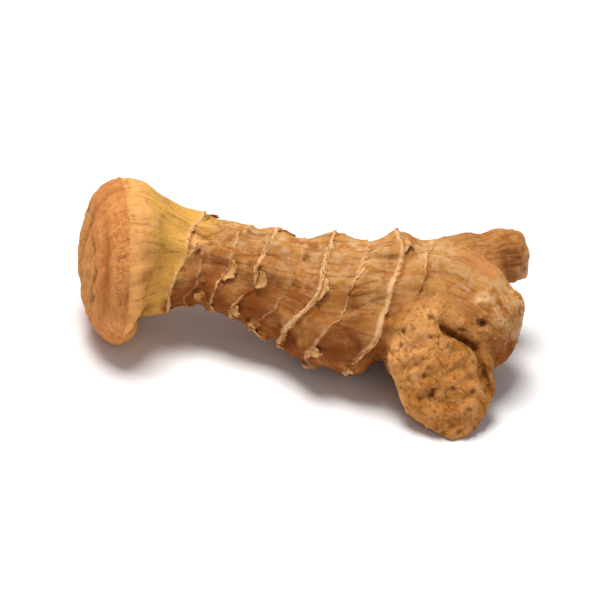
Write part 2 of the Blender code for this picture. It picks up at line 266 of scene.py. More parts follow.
# %% [markdown]
# ## The trunk's skin as a function of length and turn
#
# A scale leaf sat on each ring and left a scar. The rings lean round the stem and one has a bold kink, so
# the length at which a ring is found depends on the turn. The skin's point is the plain ring, raised by
# swells, folds and lumps, and moved along the stem by that wander.

# %% Wander, swells, folds
REACH_OF_WANDER = 8.0  # no ring strays further than this, in millimetres


def wander(s, angle):
    """How far along the root the skin is shifted: a slant, one bold kink and a light wave."""
    x = np.interp(s, trunk.s, trunk.table[:, 0])
    lean = SLANT[0] + (SLANT[1] - SLANT[0]) * smoothstep((x - SLANT_FROM) / SLANT_OVER)
    kink_x, kink_size, kink_width, kink_angle = KINK
    kink = kink_size * bell(x - kink_x, kink_width) * near_angle(angle, kink_angle, RING_FOCUS)
    light = np.sin(2 * angle + 0.23 * x) + 0.5 * np.sin(5 * angle + 1.1 * x)
    return inner(s) * (kink - lean * near_angle(angle, SLANT_ANGLE, RING_FOCUS) + WAVE * light)


def inner(s):
    """1 along the trunk, 0 at its two ends, where folds and waves die out."""
    return smoothstep(s / SKIN_FADE[0]) * smoothstep((trunk.length - s) / SKIN_FADE[1])


def folds(s, angle):
    """Dried folds along the root, which drift a little sideways as they run."""
    drift = 0.06 * np.sin(0.21 * s) + 0.04 * np.sin(0.5 * s + 1.0)
    return FOLD_DEPTH * np.sin(FOLDS * (angle + drift) + 1.5 * np.sin(2 * angle))


def crests(s, angle, lips):
    """Outward rise at the ring scars: a broad swell, and with lips a sharp crest on it."""
    rise = np.zeros(np.broadcast(s, angle).shape)
    for number, (at, height) in enumerate(trunk.scars):
        uneven = 0.75 + 0.25 * np.sin(5 * angle + 2.1 * number) * np.sin(2 * angle + number)
        swell, lip = bell(s - at, SWELL_WIDTH), bell(s - at, LIP_WIDTH)
        rise += height * (SWELL_SHARE * swell + lips * uneven * lip)
    return rise


def trunk_skin(s, angle, lips=0.0):
    """The plain ring, raised outward and moved along, for arrays of lengths and turns."""
    s, angle = np.broadcast_arrays(s, angle)
    plain = trunk.ring(s, angle)
    rise = crests(s, angle, lips) + inner(s) * folds(s, angle)
    rise = rise + LUMP_DEPTH * plane_waves(plain, LUMP_SIZE, SEED)
    along = trunk.at(s)[1]
    return plain + rise[..., None] * trunk.outward(s, plain) + wander(s, angle)[..., None] * along


print("a point on top of the trunk:", trunk_skin(20.0, 0.0).round(2))

# %% [markdown]
# ## Caps: the cut, the break and the round ends
#
# The left end was cut with a knife, and its soft inside dried into a bulge with an upright crease. The
# stump broke off, so its face is rough and split. Each cap is a set of shrinking rings pushed out along the
# limb, which meet in one point, so the surface stays closed.

# %% Caps
CREASE_BEND = (0.8, 0.34, 0.6)  # how far the crease swings, radians a millimetre, and where it starts
CLEFT_RIM = 0.3  # the split grows to its full depth over this share of the cap, from the rim


def crease_line(height):
    """How far the crease of the cut bends aside at each height."""
    size, pace, start = CREASE_BEND
    return size * np.sin(pace * height + start)


def cut_cap(angle, count=34):
    """Rings from the middle of the cut to its rim, on a bulge of (1 - share^f)^(1/f), with the crease."""
    share = np.sin(np.linspace(0, np.pi / 2, count)[:-1, None])
    bulge = CUT_BULGE * (1 - share**CUT_FLATNESS) ** (1 / CUT_FLATNESS)
    face = trunk.ring(np.zeros_like(share), angle, share, -bulge)
    centre, along, side, up = trunk.at(0.0)[:4]
    depth, width = CUT_GROOVE
    off = dot(face - centre, side) - crease_line(dot(face - centre, up))
    sunk = depth * bell(off, width) * (1 - share**2)
    return face + sunk[..., None] * along


def stump_cleft(points, narrow=1.0):
    """Depth of the split in the stump's face, which bends to the right on its way down."""
    centre, _, side, up = stump.at(stump.length)[:4]
    across, height = -dot(points - centre, side), dot(points - centre, up)
    first, more, reach = CLEFT_BEND
    line = first + more * smoothstep((reach - height) / reach)
    split = CLEFT[0] * bell(across - line, CLEFT[1] * narrow)
    return split * smoothstep(2 - abs(height) / (CLEFT_SHARE * reach))


def end_cap(limb, angle, count=22):
    """Rings that close the far end in a dome, with a broken roughness, and on the stump the split."""
    turn = np.linspace(0, np.pi / 2, count)[1:, None]
    cap = limb.ring(np.full_like(turn, limb.length), angle, np.cos(turn), limb.domes[1] * np.sin(turn))
    centre, along, _, _, wide, _ = limb.at(limb.length)
    if limb is trunk:
        return cap + LUMP_DEPTH * plane_waves(cap, LUMP_SIZE, SEED)[..., None] * unit(cap - centre)
    rise = BREAK_DEPTH * min(1.0, wide[0] / BREAK_FULL) * plane_waves(cap, GRAIN_SIZE, SEED + 3)
    if limb is stump:
        rise = rise - stump_cleft(cap) * smoothstep((1 - np.cos(turn)) / CLEFT_RIM)
    return cap + rise[..., None] * along


# %% [markdown]
# ## From four skins to one
#
# On the real root the shoots grow out of the stem, with no seam between them. A Boolean would join them
# with a hard line, so the four closed skins are put into one mesh and remeshed on a fine grid of cubes,
# which keeps only the outside. The work is done in millimetres, because very small numbers lose precision.

# %% Put the four skins together
POINT_GAP = 0.3
TRUNK_SIDES, SHOOT_SIDES = 190, 150


def turns(count):
    """That many even turns round a limb, in radians."""
    return np.arange(count) * 2 * np.pi / count


def closed_skin(rings, first, last):
    """Points and faces of a tube of rings that ends in two points."""
    rows, sides = rings.shape[:2]
    points = np.concatenate([[first], rings.reshape(-1, 3), [last]])
    i, j = np.meshgrid(np.arange(rows - 1), np.arange(sides), indexing="ij")
    here, beside = 1 + i * sides + j, 1 + i * sides + (j + 1) % sides
    quads = np.stack([here, beside, beside + sides, here + sides], axis=-1).reshape(-1, 4)
    ring = np.arange(sides)
    after, top = (ring + 1) % sides, 1 + (rows - 1) * sides
    start = np.stack([np.zeros_like(ring), 1 + after, 1 + ring], axis=1)
    end = np.stack([np.full_like(ring, top + sides), top + ring, top + after], axis=1)
    return points, quads.tolist() + start.tolist() + end.tolist()


def trunk_surface():
    """The cut, the ringed skin and the round far end."""
    angle = turns(TRUNK_SIDES)
    s = np.linspace(0, trunk.length, round(trunk.length / POINT_GAP))[:, None]
    face, cap = cut_cap(angle), end_cap(trunk, angle)
    return closed_skin(np.concatenate([face[1:], trunk_skin(s, angle), cap[:-1]]), face[0, 0], cap[-1, 0])


def shoot_surface(limb):
    """A side shoot that starts inside the trunk."""
    angle = turns(SHOOT_SIDES)
    s = np.linspace(0, limb.length, round(limb.length / POINT_GAP))[:, None]
    skin = limb.ring(s, angle)
    lumps = LUMP_DEPTH * plane_waves(skin, LUMP_SIZE, SEED + 2)
    skin = skin + lumps[..., None] * limb.outward(s, skin)
    cap = end_cap(limb, angle)
    return closed_skin(np.concatenate([skin, cap[:-1]]), limb.at(0.0)[0], cap[-1, 0])


def add_piece(name, points, faces):
    """A mesh object of that name, from points and faces."""
    mesh = bpy.data.meshes.new(name)
    mesh.from_pydata(np.asarray(points).tolist(), [], faces)
    obj = bpy.data.objects.new(name, mesh)
    bpy.context.scene.collection.objects.link(obj)
    return obj


def together(parts):
    """Several lots of points and faces as one."""
    points, faces, count = [], [], 0
    for some, their_faces in parts:
        points.append(some)
        faces += [[index + count for index in face] for face in their_faces]
        count += len(some)
    return np.concatenate(points), faces


skins = [trunk_surface()] + [shoot_surface(limb) for limb in LIMBS[1:]]
body = add_piece(NODE + "_skin", *together(skins))
print("the four skins have", len(body.data.vertices), "points")

# %% Remesh them into one closed skin
VOXEL = 0.243


def fused(obj, voxel):
    """The object's mesh, remeshed on cubes of that size: only the outside is left."""
    remesh = obj.modifiers.new("One skin", "REMESH")
    remesh.mode, remesh.voxel_size, remesh.adaptivity = "VOXEL", voxel, 0.0
    mesh = bpy.data.meshes.new_from_object(obj.evaluated_get(bpy.context.evaluated_depsgraph_get()))
    obj.modifiers.clear()
    return mesh


def read(items, key, width, kind=float):
    """A property of all of a mesh's vertices or edges, as one array."""
    values = np.empty(len(items) * width, dtype=kind)
    items.foreach_get(key, values)
    return values.reshape(-1, width)


body.data = fused(body, VOXEL)
points = read(body.data.vertices, "co", 3)
edges = read(body.data.edges, "vertices", 2, np.int32)
print("one skin of", len(points), "points and", len(body.data.polygons), "faces")

# %% [markdown]
# ## Where each point of the skin is
#
# The fine relief follows the limbs: wrinkles run along them and scars run round them. After the remesh the
# points no longer know their length and turn, so both are found again: the ring whose plane the point lies
# in gives the length, and the ring's own directions give the turn.

# %% Find length and turn again
FAR = 1.8  # rings further off than this many radii aren't looked at
LOTS = 16  # the points are looked at in this many lots, to save memory


def places_some(limb, some):
    """Length, turn, share of the section, and distance past the limb's end, for some points."""
    centre, along, _, _, wide, high = limb.at(limb.s)
    ahead = some @ along.T - dot(centre, along)
    apart = dot(some, some)[:, None] - 2 * some @ centre.T + dot(centre, centre)
    too_far = apart > (FAR * np.maximum(wide, high)[:, 0]) ** 2
    row = np.argmin(abs(ahead) + 1000.0 * too_far, axis=1)
    each = np.arange(len(some))
    here = ahead[each, row]
    beside = np.clip(row + np.sign(here).astype(int), 0, len(limb.s) - 1)
    there = ahead[each, beside]
    way = np.where(beside != row, np.clip(here / (here - there + 1e-12), 0, 1), 0.0)
    s = limb.s[row] + way * (limb.s[beside] - limb.s[row])
    past = np.where(beside == row, abs(here), 0.0) * np.where(row == 0, -1, 1)
    centre, along, side, up, wide, high = limb.at(s)
    right, top = dot(some - centre, side) / wide[:, 0], dot(some - centre, up) / high[:, 0]
    return s, np.arctan2(right, top), np.hypot(right, top), past


def places(limb, some):
    """The same for all points, a lot at a time."""
    lots = [places_some(limb, lot) for lot in np.array_split(some, LOTS)]
    return [np.concatenate(column) for column in zip(*lots)]


def depth_out(limb, place):
    """Rough distance of the points outside the limb's plain surface, in millimetres."""
    s, _, share, past = place
    dome = np.where(past < 0, limb.domes[0], limb.domes[1])
    wide, high = limb.at(s)[4:]
    return (np.hypot(share, past / dome) - 1) * (wide + high)[:, 0] / 2


def all_places(some):
    """Places and distances on each limb, and how near a point is to a seam between two limbs."""
    found = [places(limb, some) for limb in LIMBS]
    out = np.stack([depth_out(limb, place) for limb, place in zip(LIMBS, found)])
    nearest = np.sort(abs(out), axis=0)
    return found, out, nearest[1] - nearest[0]


found, out, seam = all_places(points)
print("share of points near a seam:", round(float((seam < 1).mean()), 3))

# %% [markdown]
# ## Soften the seams
#
# Where a shoot leaves the stem the skin runs round the corner in a small hollow. Each point is moved
# towards the middle of its neighbours, many times near a seam and twice elsewhere.

# %% Smooth by neighbours
def relax(some, weight, times, rate=0.6):
    """Moves points towards the mean of their neighbours, by rate and weight."""
    count = np.bincount(edges.ravel(), minlength=len(some))[:, None]
    for _ in range(times):
        total = np.zeros_like(some)
        for axis in range(3):
            total[:, axis] = np.bincount(edges[:, 0], some[edges[:, 1], axis], len(some))
            total[:, axis] += np.bincount(edges[:, 1], some[edges[:, 0], axis], len(some))
        some = some + rate * weight[:, None] * (total / count - some)
    return some


SEAM_WIDTH, SEAM_TIMES = 1.3, 40
smooth = relax(points, bell(seam, SEAM_WIDTH), SEAM_TIMES)
smooth = relax(smooth, np.ones(len(points)), 2)
print("seams moved by up to", round(float(np.linalg.norm(smooth - points, axis=1).max()), 2), "mm")
points = smooth

# %% How much each point belongs to each limb
MIX_WIDTH = 0.4  # the limbs' own skins mix where their distances differ by about this much
SHOOT_FADE = 4.0  # a shoot's own skin comes in over this length, so that nothing jumps where it starts
found, out, seam = all_places(points)
weights = np.exp(-np.maximum(out - out.min(axis=0), 0) / MIX_WIDTH)
weights[1:] *= [smoothstep(place[0] / SHOOT_FADE) for place in found[1:]]
weights /= weights.sum(axis=0)
print("the trunk has", round(float(weights[0].mean()), 2), "of the skin")

# %% [markdown]
# ## The relief of dried skin
#
# As the root dries it shrinks inside its skin, and the skin falls into folds: broad rounded ridges with
# sharp furrows between them, along the limb and broken at each ring. The size of gradient noise has exactly
# that profile, a round hill with a sharp valley wherever the noise crosses zero. The noise is read on a
# cylinder and stretched along the limb, and each internode reads another part of it.

# %% Wrinkles along a limb
CYLINDER = 7.0  # a turn is read on a circle of this radius, in millimetres
FOLD_BEND = 0.25  # how far a fold swings aside, in radians
FOLD_BOTTOM = 0.002  # rounds the bottom of a furrow
FOLD_GAIN = 2.2  # brings the folds to a height of about 1
FURROW_SHARE = 0.09  # noise below this is furrow
BROAD_FOLDS, NARROW_FOLDS = (1.9, 4.5, 0.30), (0.85, 3.5, 0.15)  # size, stretch and depth in millimetres


def on_cylinder(s, angle, stretch, shift):
    """Places to read noise at: a circle for the turn, and the length, over stretch, for the height."""
    return np.stack([CYLINDER * np.cos(angle), CYLINDER * np.sin(angle), s / stretch + shift], axis=-1)


def wrinkles(s, angle, shift, size, stretch, seed):
    """The absolute value of stretched noise: (height from 0 to about 1, and a mask from 0 to 1 for the
    shade painted in the furrows).
    """
    bend = FOLD_BEND * noise(on_cylinder(s, angle, 2.0, shift), 3.0, seed + 50)
    n = noise(on_cylinder(s, angle + bend / 2, stretch, shift), size, seed)
    return np.sqrt(n**2 + FOLD_BOTTOM) * FOLD_GAIN, bell(n, FURROW_SHARE)


TURNS = np.linspace(-np.pi, np.pi, 1441)


def round_noise(angle, size, shift, seed):
    """Noise round a limb, worked out at a fixed set of turns and read between them."""
    values = noise(on_cylinder(0 * TURNS, TURNS, 1.0, shift), size, seed)
    return np.interp((angle + np.pi) % (2 * np.pi) - np.pi, TURNS, values)


def internode(s, scars):
    """Which internode each length lies in, counted from the start."""
    return np.searchsorted(np.array([at for at, _ in scars]), s)


def skin_folds(s, angle, number, seed):
    """Two sizes of wrinkle: (height in millimetres, mask of the painted shade in the furrows)."""
    shift = 17.3 * number
    strength = 0.55 + 0.45 * noise(on_cylinder(s, angle, 1.0, shift), 4.5, seed + 9)
    broad, broad_furrow = wrinkles(s, angle, shift, *BROAD_FOLDS[:2], seed)
    narrow, narrow_furrow = wrinkles(s, angle, shift + 5, *NARROW_FOLDS[:2], seed + 3)
    height = strength * (BROAD_FOLDS[2] * (broad - 0.7) + NARROW_FOLDS[2] * (narrow - 0.7))
    return height, np.clip(strength * (0.9 * broad_furrow + 0.6 * narrow_furrow), 0, 1)


# %% [markdown]
# ## Ring scars
#
# A scale leaf wrapped the stem, and when it rotted its foot was left as a layer with a frayed, pale edge. So
# at each scar the skin rises slowly towards the edge and drops off sharply after it. The edge is bold on one
# side and nearly gone on another. Between the bold scars run faint ones.

# %% Scars
def skin_length(s, angle):
    """The length before the skin was shifted: a bracket is halved till the shifted point is level with s."""
    centre, along = trunk.at(s)[:2]
    low, high = s - REACH_OF_WANDER, s + REACH_OF_WANDER
    for _ in range(16):
        middle = (low + high) / 2
        shifted = trunk.ring(middle, angle, push=wander(middle, angle))
        short = dot(shifted - centre, along) < 0
        low, high = np.where(short, middle, low), np.where(short, high, middle)
    return (low + high) / 2


def skin_stretch(s, angle):
    """How much longer the shifted skin is than before: 1 plus the change of the shift over a millimetre."""
    return np.clip(1 + wander(s + 0.5, angle) - wander(s - 0.5, angle), 0.4, 1.6)


RING_SHIFT = 7.7  # each ring reads its own part of the noise
LAYER_RISE, LIP_RISE, GROOVE_DEPTH = 0.40, 0.45, 0.2  # shares of a ring's own height
GROOVE_BEHIND = 0.5  # the groove's middle is this far past the edge


def faint_rings(scars, length, rng):
    """Places and heights of the faint rings, about one a millimetre, none close to a bold one."""
    wanted = np.cumsum(rng.uniform(0.8, 1.9, 60))
    bold = np.array([at for at, _ in scars] or [-99.0])
    return [(at, rng.uniform(0.03, 0.09)) for at in wanted if at < length and min(abs(bold - at)) > 0.7]


def ring_line(angle, number, seed):
    """How far a ring strays from its place, turn by turn: a slow sway and a small jag."""
    shift = RING_SHIFT * number
    return 0.25 * round_noise(angle, 2.4, shift, seed) + 0.14 * round_noise(angle, 0.7, shift, seed + 1)


def scar_relief(skin, angle, scars, seed, stretch=1.0):
    """Lips with a groove behind: (height in millimetres, pale mask, mask of the painted shade in the groove).
    """
    height, pale, furrow = np.zeros((3, len(skin)))
    for number, (at, size) in enumerate(scars):
        shift, off = RING_SHIFT * number, stretch * (skin - at - ring_line(angle, number, seed))
        whole = np.clip(0.65 + 0.8 * round_noise(angle, 3.4, shift, seed + 2), 0.08, 1.25)
        fray = np.clip(0.75 + 0.7 * round_noise(angle, 0.55, shift, seed + 3), 0.05, 1.5)
        layer = np.where(off < 0, np.exp(off / 1.2), smoothstep(1 - off / 0.25))
        lip = np.where(off < 0, bell(off, 0.22 + 0.2 * size), bell(off, 0.14))
        height += size * whole * (LAYER_RISE * layer + LIP_RISE * fray * lip)
        height -= GROOVE_DEPTH * size * bell(off - GROOVE_BEHIND, 0.25)
        bold = np.clip(0.15 + 1.5 * size, 0, 1.1) * np.clip((0.35 + whole) * (0.5 + 0.5 * fray), 0, 1.1)
        pale += bold * np.where(off < 0, bell(off, 0.20 + 0.38 * size), bell(off, 0.22))
        # painted shade in the groove just past the lip
        furrow += np.clip(1.1 * size, 0, 0.5) * bell(off - GROOVE_BEHIND, 0.2)
    return height, np.clip(pale, 0, 1), np.clip(furrow, 0, 1)


trunk_s, trunk_angle, trunk_share, trunk_past = found[0]
skin_s = skin_length(np.clip(trunk_s, 0, trunk.length), trunk_angle)
faint = faint_rings(trunk.scars, trunk.length - 6, np.random.default_rng(SEED))
print(len(trunk.scars), "bold rings and", len(faint), "faint ones")

# %% [markdown]
# ## The cut face and the broken stump
#
# The cut shows the inside: an orange bark zone, a thin darker line, and the woody core. Its threads run
# along the root, so they end in the face, and as the soft part between them shrank it fell into fine upright
# streaks and one deep crease. The stump was broken instead, and its ochre face is torn, pitted and split.

# %% Ends
def cut_coordinates(some):
    """Across and up on the cut face, in millimetres from its middle."""
    centre, _, side, up = trunk.at(0.0)[:4]
    return dot(some - centre, side), dot(some - centre, up)


def cut_relief(some, share):
    """Upright streaks, a crack in the crease, a line round the core, a fine tear: (height, a dark mask that
    is painted shade in the crack and the streaks' dents, and the core's own darker line).
    """
    across, height = cut_coordinates(some)
    sway = 0.5 * noise(some, 4.0, SEED + 60)
    flat = np.stack([across + sway, height / 4.0, 0 * across], axis=-1)
    wide_streak, fine_streak = noise(flat, 1.3, SEED + 61), noise(flat, 0.55, SEED + 62)
    core = bell(core_edge(some, share), 0.03) * smoothstep(0.7 + noise(some, 2.2, SEED + 65))
    gap = bell(across - crease_line(height) + 0.5 * sway, 0.22) * smoothstep(1.2 - 1.6 * share)
    crack = gap * np.clip(0.6 + 1.3 * noise(some, 1.7, SEED + 69), 0, 1)
    shrunk = np.sin(34 * share + 2.5 * noise(some, 3.5, SEED + 64))
    rise = 0.14 * wide_streak + 0.08 * fine_streak - 0.16 * core - 0.5 * crack + 0.03 * shrunk
    rise += 0.16 * rough(some, 1.4, SEED + 66) - 0.3 * rim_streak(some, share)
    return rise, np.clip(0.8 * core + 0.9 * crack + 0.35 * smoothstep(-2.2 * fine_streak - 0.2), 0, 1)


def core_edge(some, share):
    """Share of the section past the wavy line where the woody core ends."""
    return share - 0.62 - 0.07 * noise(some, 3.0, SEED + 63)


def rim_streak(some, share):
    """The dent that runs beside the near rim, in the upper half of the cut, where it is also painted dark as
    shade.
    """
    across, height = cut_coordinates(some)
    line = 0.85 + 0.02 * noise(some, 2.0, SEED + 67)
    return bell(share - line, 0.055) * near_angle(np.arctan2(across, height), math.radians(60), 7)


def break_relief(some):
    """Torn bumps, a ring round the core, pits and the sharp bottom of the split: (height, mask of the painted
    shade in the pits, the split and the torn dips).
    """
    centre, _, side, up, wide, high = stump.at(stump.length)
    across, up_it = dot(some - centre, side), dot(some - centre, up)
    share = np.hypot(across / wide, up_it / high)
    torn_places = np.stack([across, up_it / 2.2, dot(some, (1, 1, 1)) / 6], axis=-1)
    torn = abs(noise(torn_places, 1.5, SEED + 72))
    core = bell(share - 0.66 - 0.07 * noise(some, 2.5, SEED + 74), 0.06)
    pits = np.clip(noise(some, 0.95, SEED + 73) - 0.3, 0, 1)
    split = stump_cleft(some, 0.45) / CLEFT[0]
    rise = 0.30 * rough(some, 2.8, SEED + 70) + 0.35 * torn + 0.16 * core - 0.75 * pits - 0.7 * split
    rise += 0.10 * rough(some, 0.9, SEED + 76, 2)
    return rise, np.clip(1.6 * pits + 0.9 * split + 0.7 * bell(torn, 0.07), 0, 1)


# %% [markdown]
# ## Round root scars
#
# Thin roots grew from the underside, and where one fell off it left a round scar: a raised pale ring round a
# sunken middle, which is painted dark as shade. One of them looks out of the knuckle like an eye. Each is a
# ring of height round a point.

# %% Root scars
EYE = (25.1, math.radians(48), 1.2, 1.6)  # x on the trunk, turn, radius and boldness
EYE_GLINT_SPOT = (23.7, math.radians(25), 1.15)  # a raised pale spot above it: a torn patch, made lighter as a painted highlight
ROOT_SCARS = 26


def surface_point(x, angle):
    """The point of the trunk's skin at that x and turn."""
    return trunk_skin(np.interp(x, trunk.table[:, 0], trunk.s), angle)


def root_scar(some, centre, radius, bold=1.0):
    """An uneven raised ring and a sunken middle: (height, pale mask, mask of the shade painted in the
    middle).
    """
    lumpy = 1 + 0.30 * noise(some, 0.9, SEED + 98) + 0.15 * noise(some, 0.4, SEED + 99)
    away = np.linalg.norm(some - centre, axis=1) / (radius * lumpy)
    ring, middle = bell(away - 0.85, 0.26), bell(away, 0.42)
    broken_ring = ring * np.clip(0.7 + 0.8 * noise(some, 0.8, SEED + 97), 0.1, 1)
    return bold * radius * (0.16 * broken_ring - 0.45 * middle), (0.72 - 0.16 * bold) * broken_ring, middle


def root_scar_places(rng):
    """Centres and radii of the fallen roots, most of them on the underside."""
    x = rng.uniform(-14, 22, ROOT_SCARS)
    angle = np.radians(rng.normal(180, 48, ROOT_SCARS))
    radius = rng.uniform(0.55, 0.95, ROOT_SCARS)
    return [(surface_point(*place), size) for *place, size in zip(x, angle, radius)]


# %% [markdown]
# ## All the relief on the one skin
#
# Each limb gives its own relief, and near a seam they are mixed by how close the point is to each. The same
# numbers become masks for the colours: a deep furrow is painted dark as shade, and a high ridge is painted
# lighter as light.

# %% Work out relief and masks
def shoot_relief(limb, place, seed):
    """Wrinkles, a few faint rings and the broken end of a side shoot, with a torn lip of skin round it."""
    s, angle, _, past = place
    rings = faint_rings((), limb.length, np.random.default_rng(seed))[::2]
    torn = 0.5 * noise(points, 1.3, seed + 5) + 0.25 * noise(points, 0.55, seed + 6)
    edge = past + np.clip(s - limb.length + 1.6, 0, 1.6) - 0.9 + torn
    broken = smoothstep(0.5 + edge / 0.5)
    fold, furrow = skin_folds(s, angle, 0, seed)
    bent_s = s + 0.8 * noise(on_cylinder(s, angle, 1, 3), 5.0, seed)
    ring, pale, groove = scar_relief(bent_s, angle, rings, seed)
    end, end_furrow = break_relief(points)
    depth = 1.0 if limb is stump else 0.8
    height = (1 - broken) * (fold + 1.6 * ring) + broken * depth * end + 0.25 * bell(edge + 0.25, 0.28)
    # painted shade: a dark line just past the torn lip
    furrow = (1 - broken) * (furrow + groove) + broken * end_furrow + 0.5 * bell(edge - 0.15, 0.2)
    return height, (1 - broken) * pale, furrow, broken


def peeled_band():
    """The olive band: from the cut's rim to the first scar, in places past it, and worn off in spots."""
    past_scar = 0.2 + 3.4 * near_angle(trunk_angle, math.radians(-15), 2)
    past_scar += 0.8 * noise(points, 1.6, SEED + 49)
    reach = smoothstep((skin_s - 1.4) / 2.4) * smoothstep((trunk.scars[0][0] + past_scar - skin_s) / 1.4)
    worn = noise(on_cylinder(skin_s, trunk_angle, 1.6, 4.0), 3.6, SEED + 47)
    worn += 0.5 * noise(points, 1.2, SEED + 48)
    return reach * smoothstep(0.25 + 0.6 * worn + 1.1 * near_angle(trunk_angle, math.radians(55), 1.3))


def flare_ribs(before_cut):
    """Ribs that the shrunk flare has near its rim, and a shallow groove behind it."""
    ribs = 0.55 * round_noise(trunk_angle, 3.2, 1.0, SEED + 45)
    ribs += 0.22 * round_noise(trunk_angle, 1.1, 2.0, SEED + 46)
    return ribs * bell(skin_s - 2.0, 3.2) * (before_cut > -1.5) - 0.15 * bell(before_cut - 2.2, 0.7)


def trunk_relief(before_cut):
    """Everything on the trunk: (height, pale, furrow, cut)."""
    cut = smoothstep(0.5 - before_cut / 0.8)
    fold, furrow = skin_folds(skin_s, trunk_angle, internode(skin_s, trunk.scars), SEED + 20)
    calm = 1 - 0.6 * smoothstep((trunk.scars[0][0] - skin_s + 0.8) / 1.5)
    stretch = skin_stretch(skin_s, trunk_angle)
    ring, pale, groove = scar_relief(skin_s, trunk_angle, trunk.scars, SEED + 30, stretch)
    thin, thin_pale, _ = scar_relief(skin_s, trunk_angle, faint, SEED + 40, stretch)
    face, face_furrow = cut_relief(points, trunk_share)
    height = (1 - cut) * (calm * fold + ring + calm * 1.3 * thin) + cut * face + flare_ribs(before_cut)
    pale = (1 - cut) * np.clip(pale + 0.35 * calm * thin_pale, 0, 1)
    furrow = (1 - cut) * np.clip(calm * furrow + groove, 0, 1) + cut * face_furrow
    return height, pale, furrow, cut


before_cut = skin_s + trunk_past.clip(-9, 0)
band = peeled_band()
height, pale, furrow, cut = trunk_relief(before_cut)
masks = {"cut": weights[0] * cut, "band": weights[0] * band, "broken": np.zeros(len(points))}
height, pale, furrow = (weights[0] * some for some in (height, pale, furrow))
SHOOT_SEEDS = (SEED + 80, SEED + 85, SEED + 90)
for limb, place, weight, seed in zip(LIMBS[1:], found[1:], weights[1:], SHOOT_SEEDS):
    *more, broken = shoot_relief(limb, place, seed)
    height, pale, furrow = (old + weight * new for old, new in zip((height, pale, furrow), more))
    masks["broken"] += weight * broken * (1.0 if limb is stump else 0.35)
print("relief from", round(float(height.min()), 2), "to", round(float(height.max()), 2), "mm")

# %% Add the round scars and the small crumbs of the skin
dark = np.zeros(len(points))
scar_places = root_scar_places(np.random.default_rng(SEED + 7))
scar_places.append((surface_point(EYE[0], EYE[1]), EYE[2], EYE[3]))
for place in scar_places:
    rise, ring, middle = root_scar(points, *place)
    near = np.clip(ring + middle, 0, 1)
    height = height * (1 - 0.8 * near) + rise
    # painted shade: the sunken middles of the scars are marked to be laid nearly black
    pale, dark = np.clip(pale + ring, 0, 1), np.clip(dark + middle, 0, 1)
# partly painted highlight: the pale spot above the eye
above_eye = bell(np.linalg.norm(points - surface_point(*EYE_GLINT_SPOT[:2]), axis=1), EYE_GLINT_SPOT[2])
above_eye = above_eye * np.clip(0.8 + 0.8 * noise(points, 0.8, SEED + 94), 0, 1)
height, pale = height + 0.25 * above_eye, np.clip(pale + above_eye, 0, 1)
calm_ends = 1 - 0.6 * masks["cut"]
height += calm_ends * 0.05 * rough(points, 1.1, SEED + 95)
height += -0.22 * np.clip(noise(points, 1.4, SEED + 96) - 0.45, 0, 1) * calm_ends

# %% [markdown]
# ## Put the relief on and let the root rest
#
# The points move along their normals by the relief. Where the root touches the ground it has worn flat
# spots, so nothing goes below the floor.

# %% Move the points
body.data.vertices.foreach_set("co", points.ravel())
body.data.update()
normals = unit(relax(read(body.data.vertices, "normal", 3), np.ones(len(points)), 4))
shaped = points + height[:, None] * normals - np.array(CENTRE)
shaped[:, 2] = np.maximum(shaped[:, 2], 0.0)
body.data.vertices.foreach_set("co", (shaped * MM).ravel())
body.data.update()
body.data.shade_smooth()
print("the skin is", (shaped.max(axis=0) - shaped.min(axis=0)).round(2), "mm")

# %% [markdown]
# ## Masks for the colours
#
# Each mask is kept as a number at every point, and the material reads it by name. Soft patches of colour
# are places too: an orange glow by the horn, pink far ends made paler as painted light, a red foot of the
# stump and red flanks that are partly painted shade, and a lighter top that is painted light.

# %% Keep the masks on the mesh
PATCHES = (
    # partly painted shade: the stump's low foot is laid redder and darker, as well as its own red
    ("red", 0.9, (18.5, -10, 1.5), 4.5),
    ("red", 0.9, (26.6, 5.3, 14.2), 2.2),
    # painted light: a lighter patch on top of the knuckle
    ("worn", 0.7, (26.2, -3, 13.6), 3.0),
    ("orange", 1.0, (22.5, 1.5, 15.5), 3.2),
    ("orange", 0.6, (21, -6.5, 13.5), 2.4),
    # partly painted light: the far ends' own pink, made paler, as light on ends that face away from the lamp
    ("pink", 1.0, (29.0, 1.0, 8.0), 4.5),
    ("pink", 1.1, (29.8, 8.4, 12.9), 2.7),
)  # mask, strength, middle and size in millimetres

# the furrow mask is painted shade in creases, grooves, pits and the split, with the cut's own dark core line
masks["pale"], masks["furrow"], masks["dark"] = pale, furrow, dark
bare = weights[0] * (1 - cut)
# partly painted shade: red brown deepest low on the front, where the trunk is shaded, partly its own red
masks["red"] = 1.2 * bare * (1 - 0.6 * band) * near_angle(trunk_angle, math.radians(135), 1.8)
# painted light: the top of the trunk, and of the horn, is laid lighter, as if lit from above
masks["worn"] = bare * near_angle(trunk_angle, math.radians(-14), 2.2)
masks["worn"] += 0.35 * weights[2] * near_angle(found[2][1], 0, 1)
for name, strength, middle, size in PATCHES:
    spot = strength * bell(np.linalg.norm(shaped - middle, axis=1), size)
    masks[name] = masks.get(name, 0) + spot
cut_across, cut_height = cut_coordinates(points)
crease = 0.6 * bell(cut_across - crease_line(cut_height), 0.8)
# painted shade: the crease of the cut and the dent beside its rim are laid dark
masks["crease_and_dent_shade"] = masks["cut"] * np.maximum(crease, rim_streak(points, trunk_share))
masks["core"] = masks["cut"] * smoothstep(0.5 - core_edge(points, trunk_share) / 0.05)
from_cut = before_cut + 0.5 * noise(points, 3.0, SEED + 68)
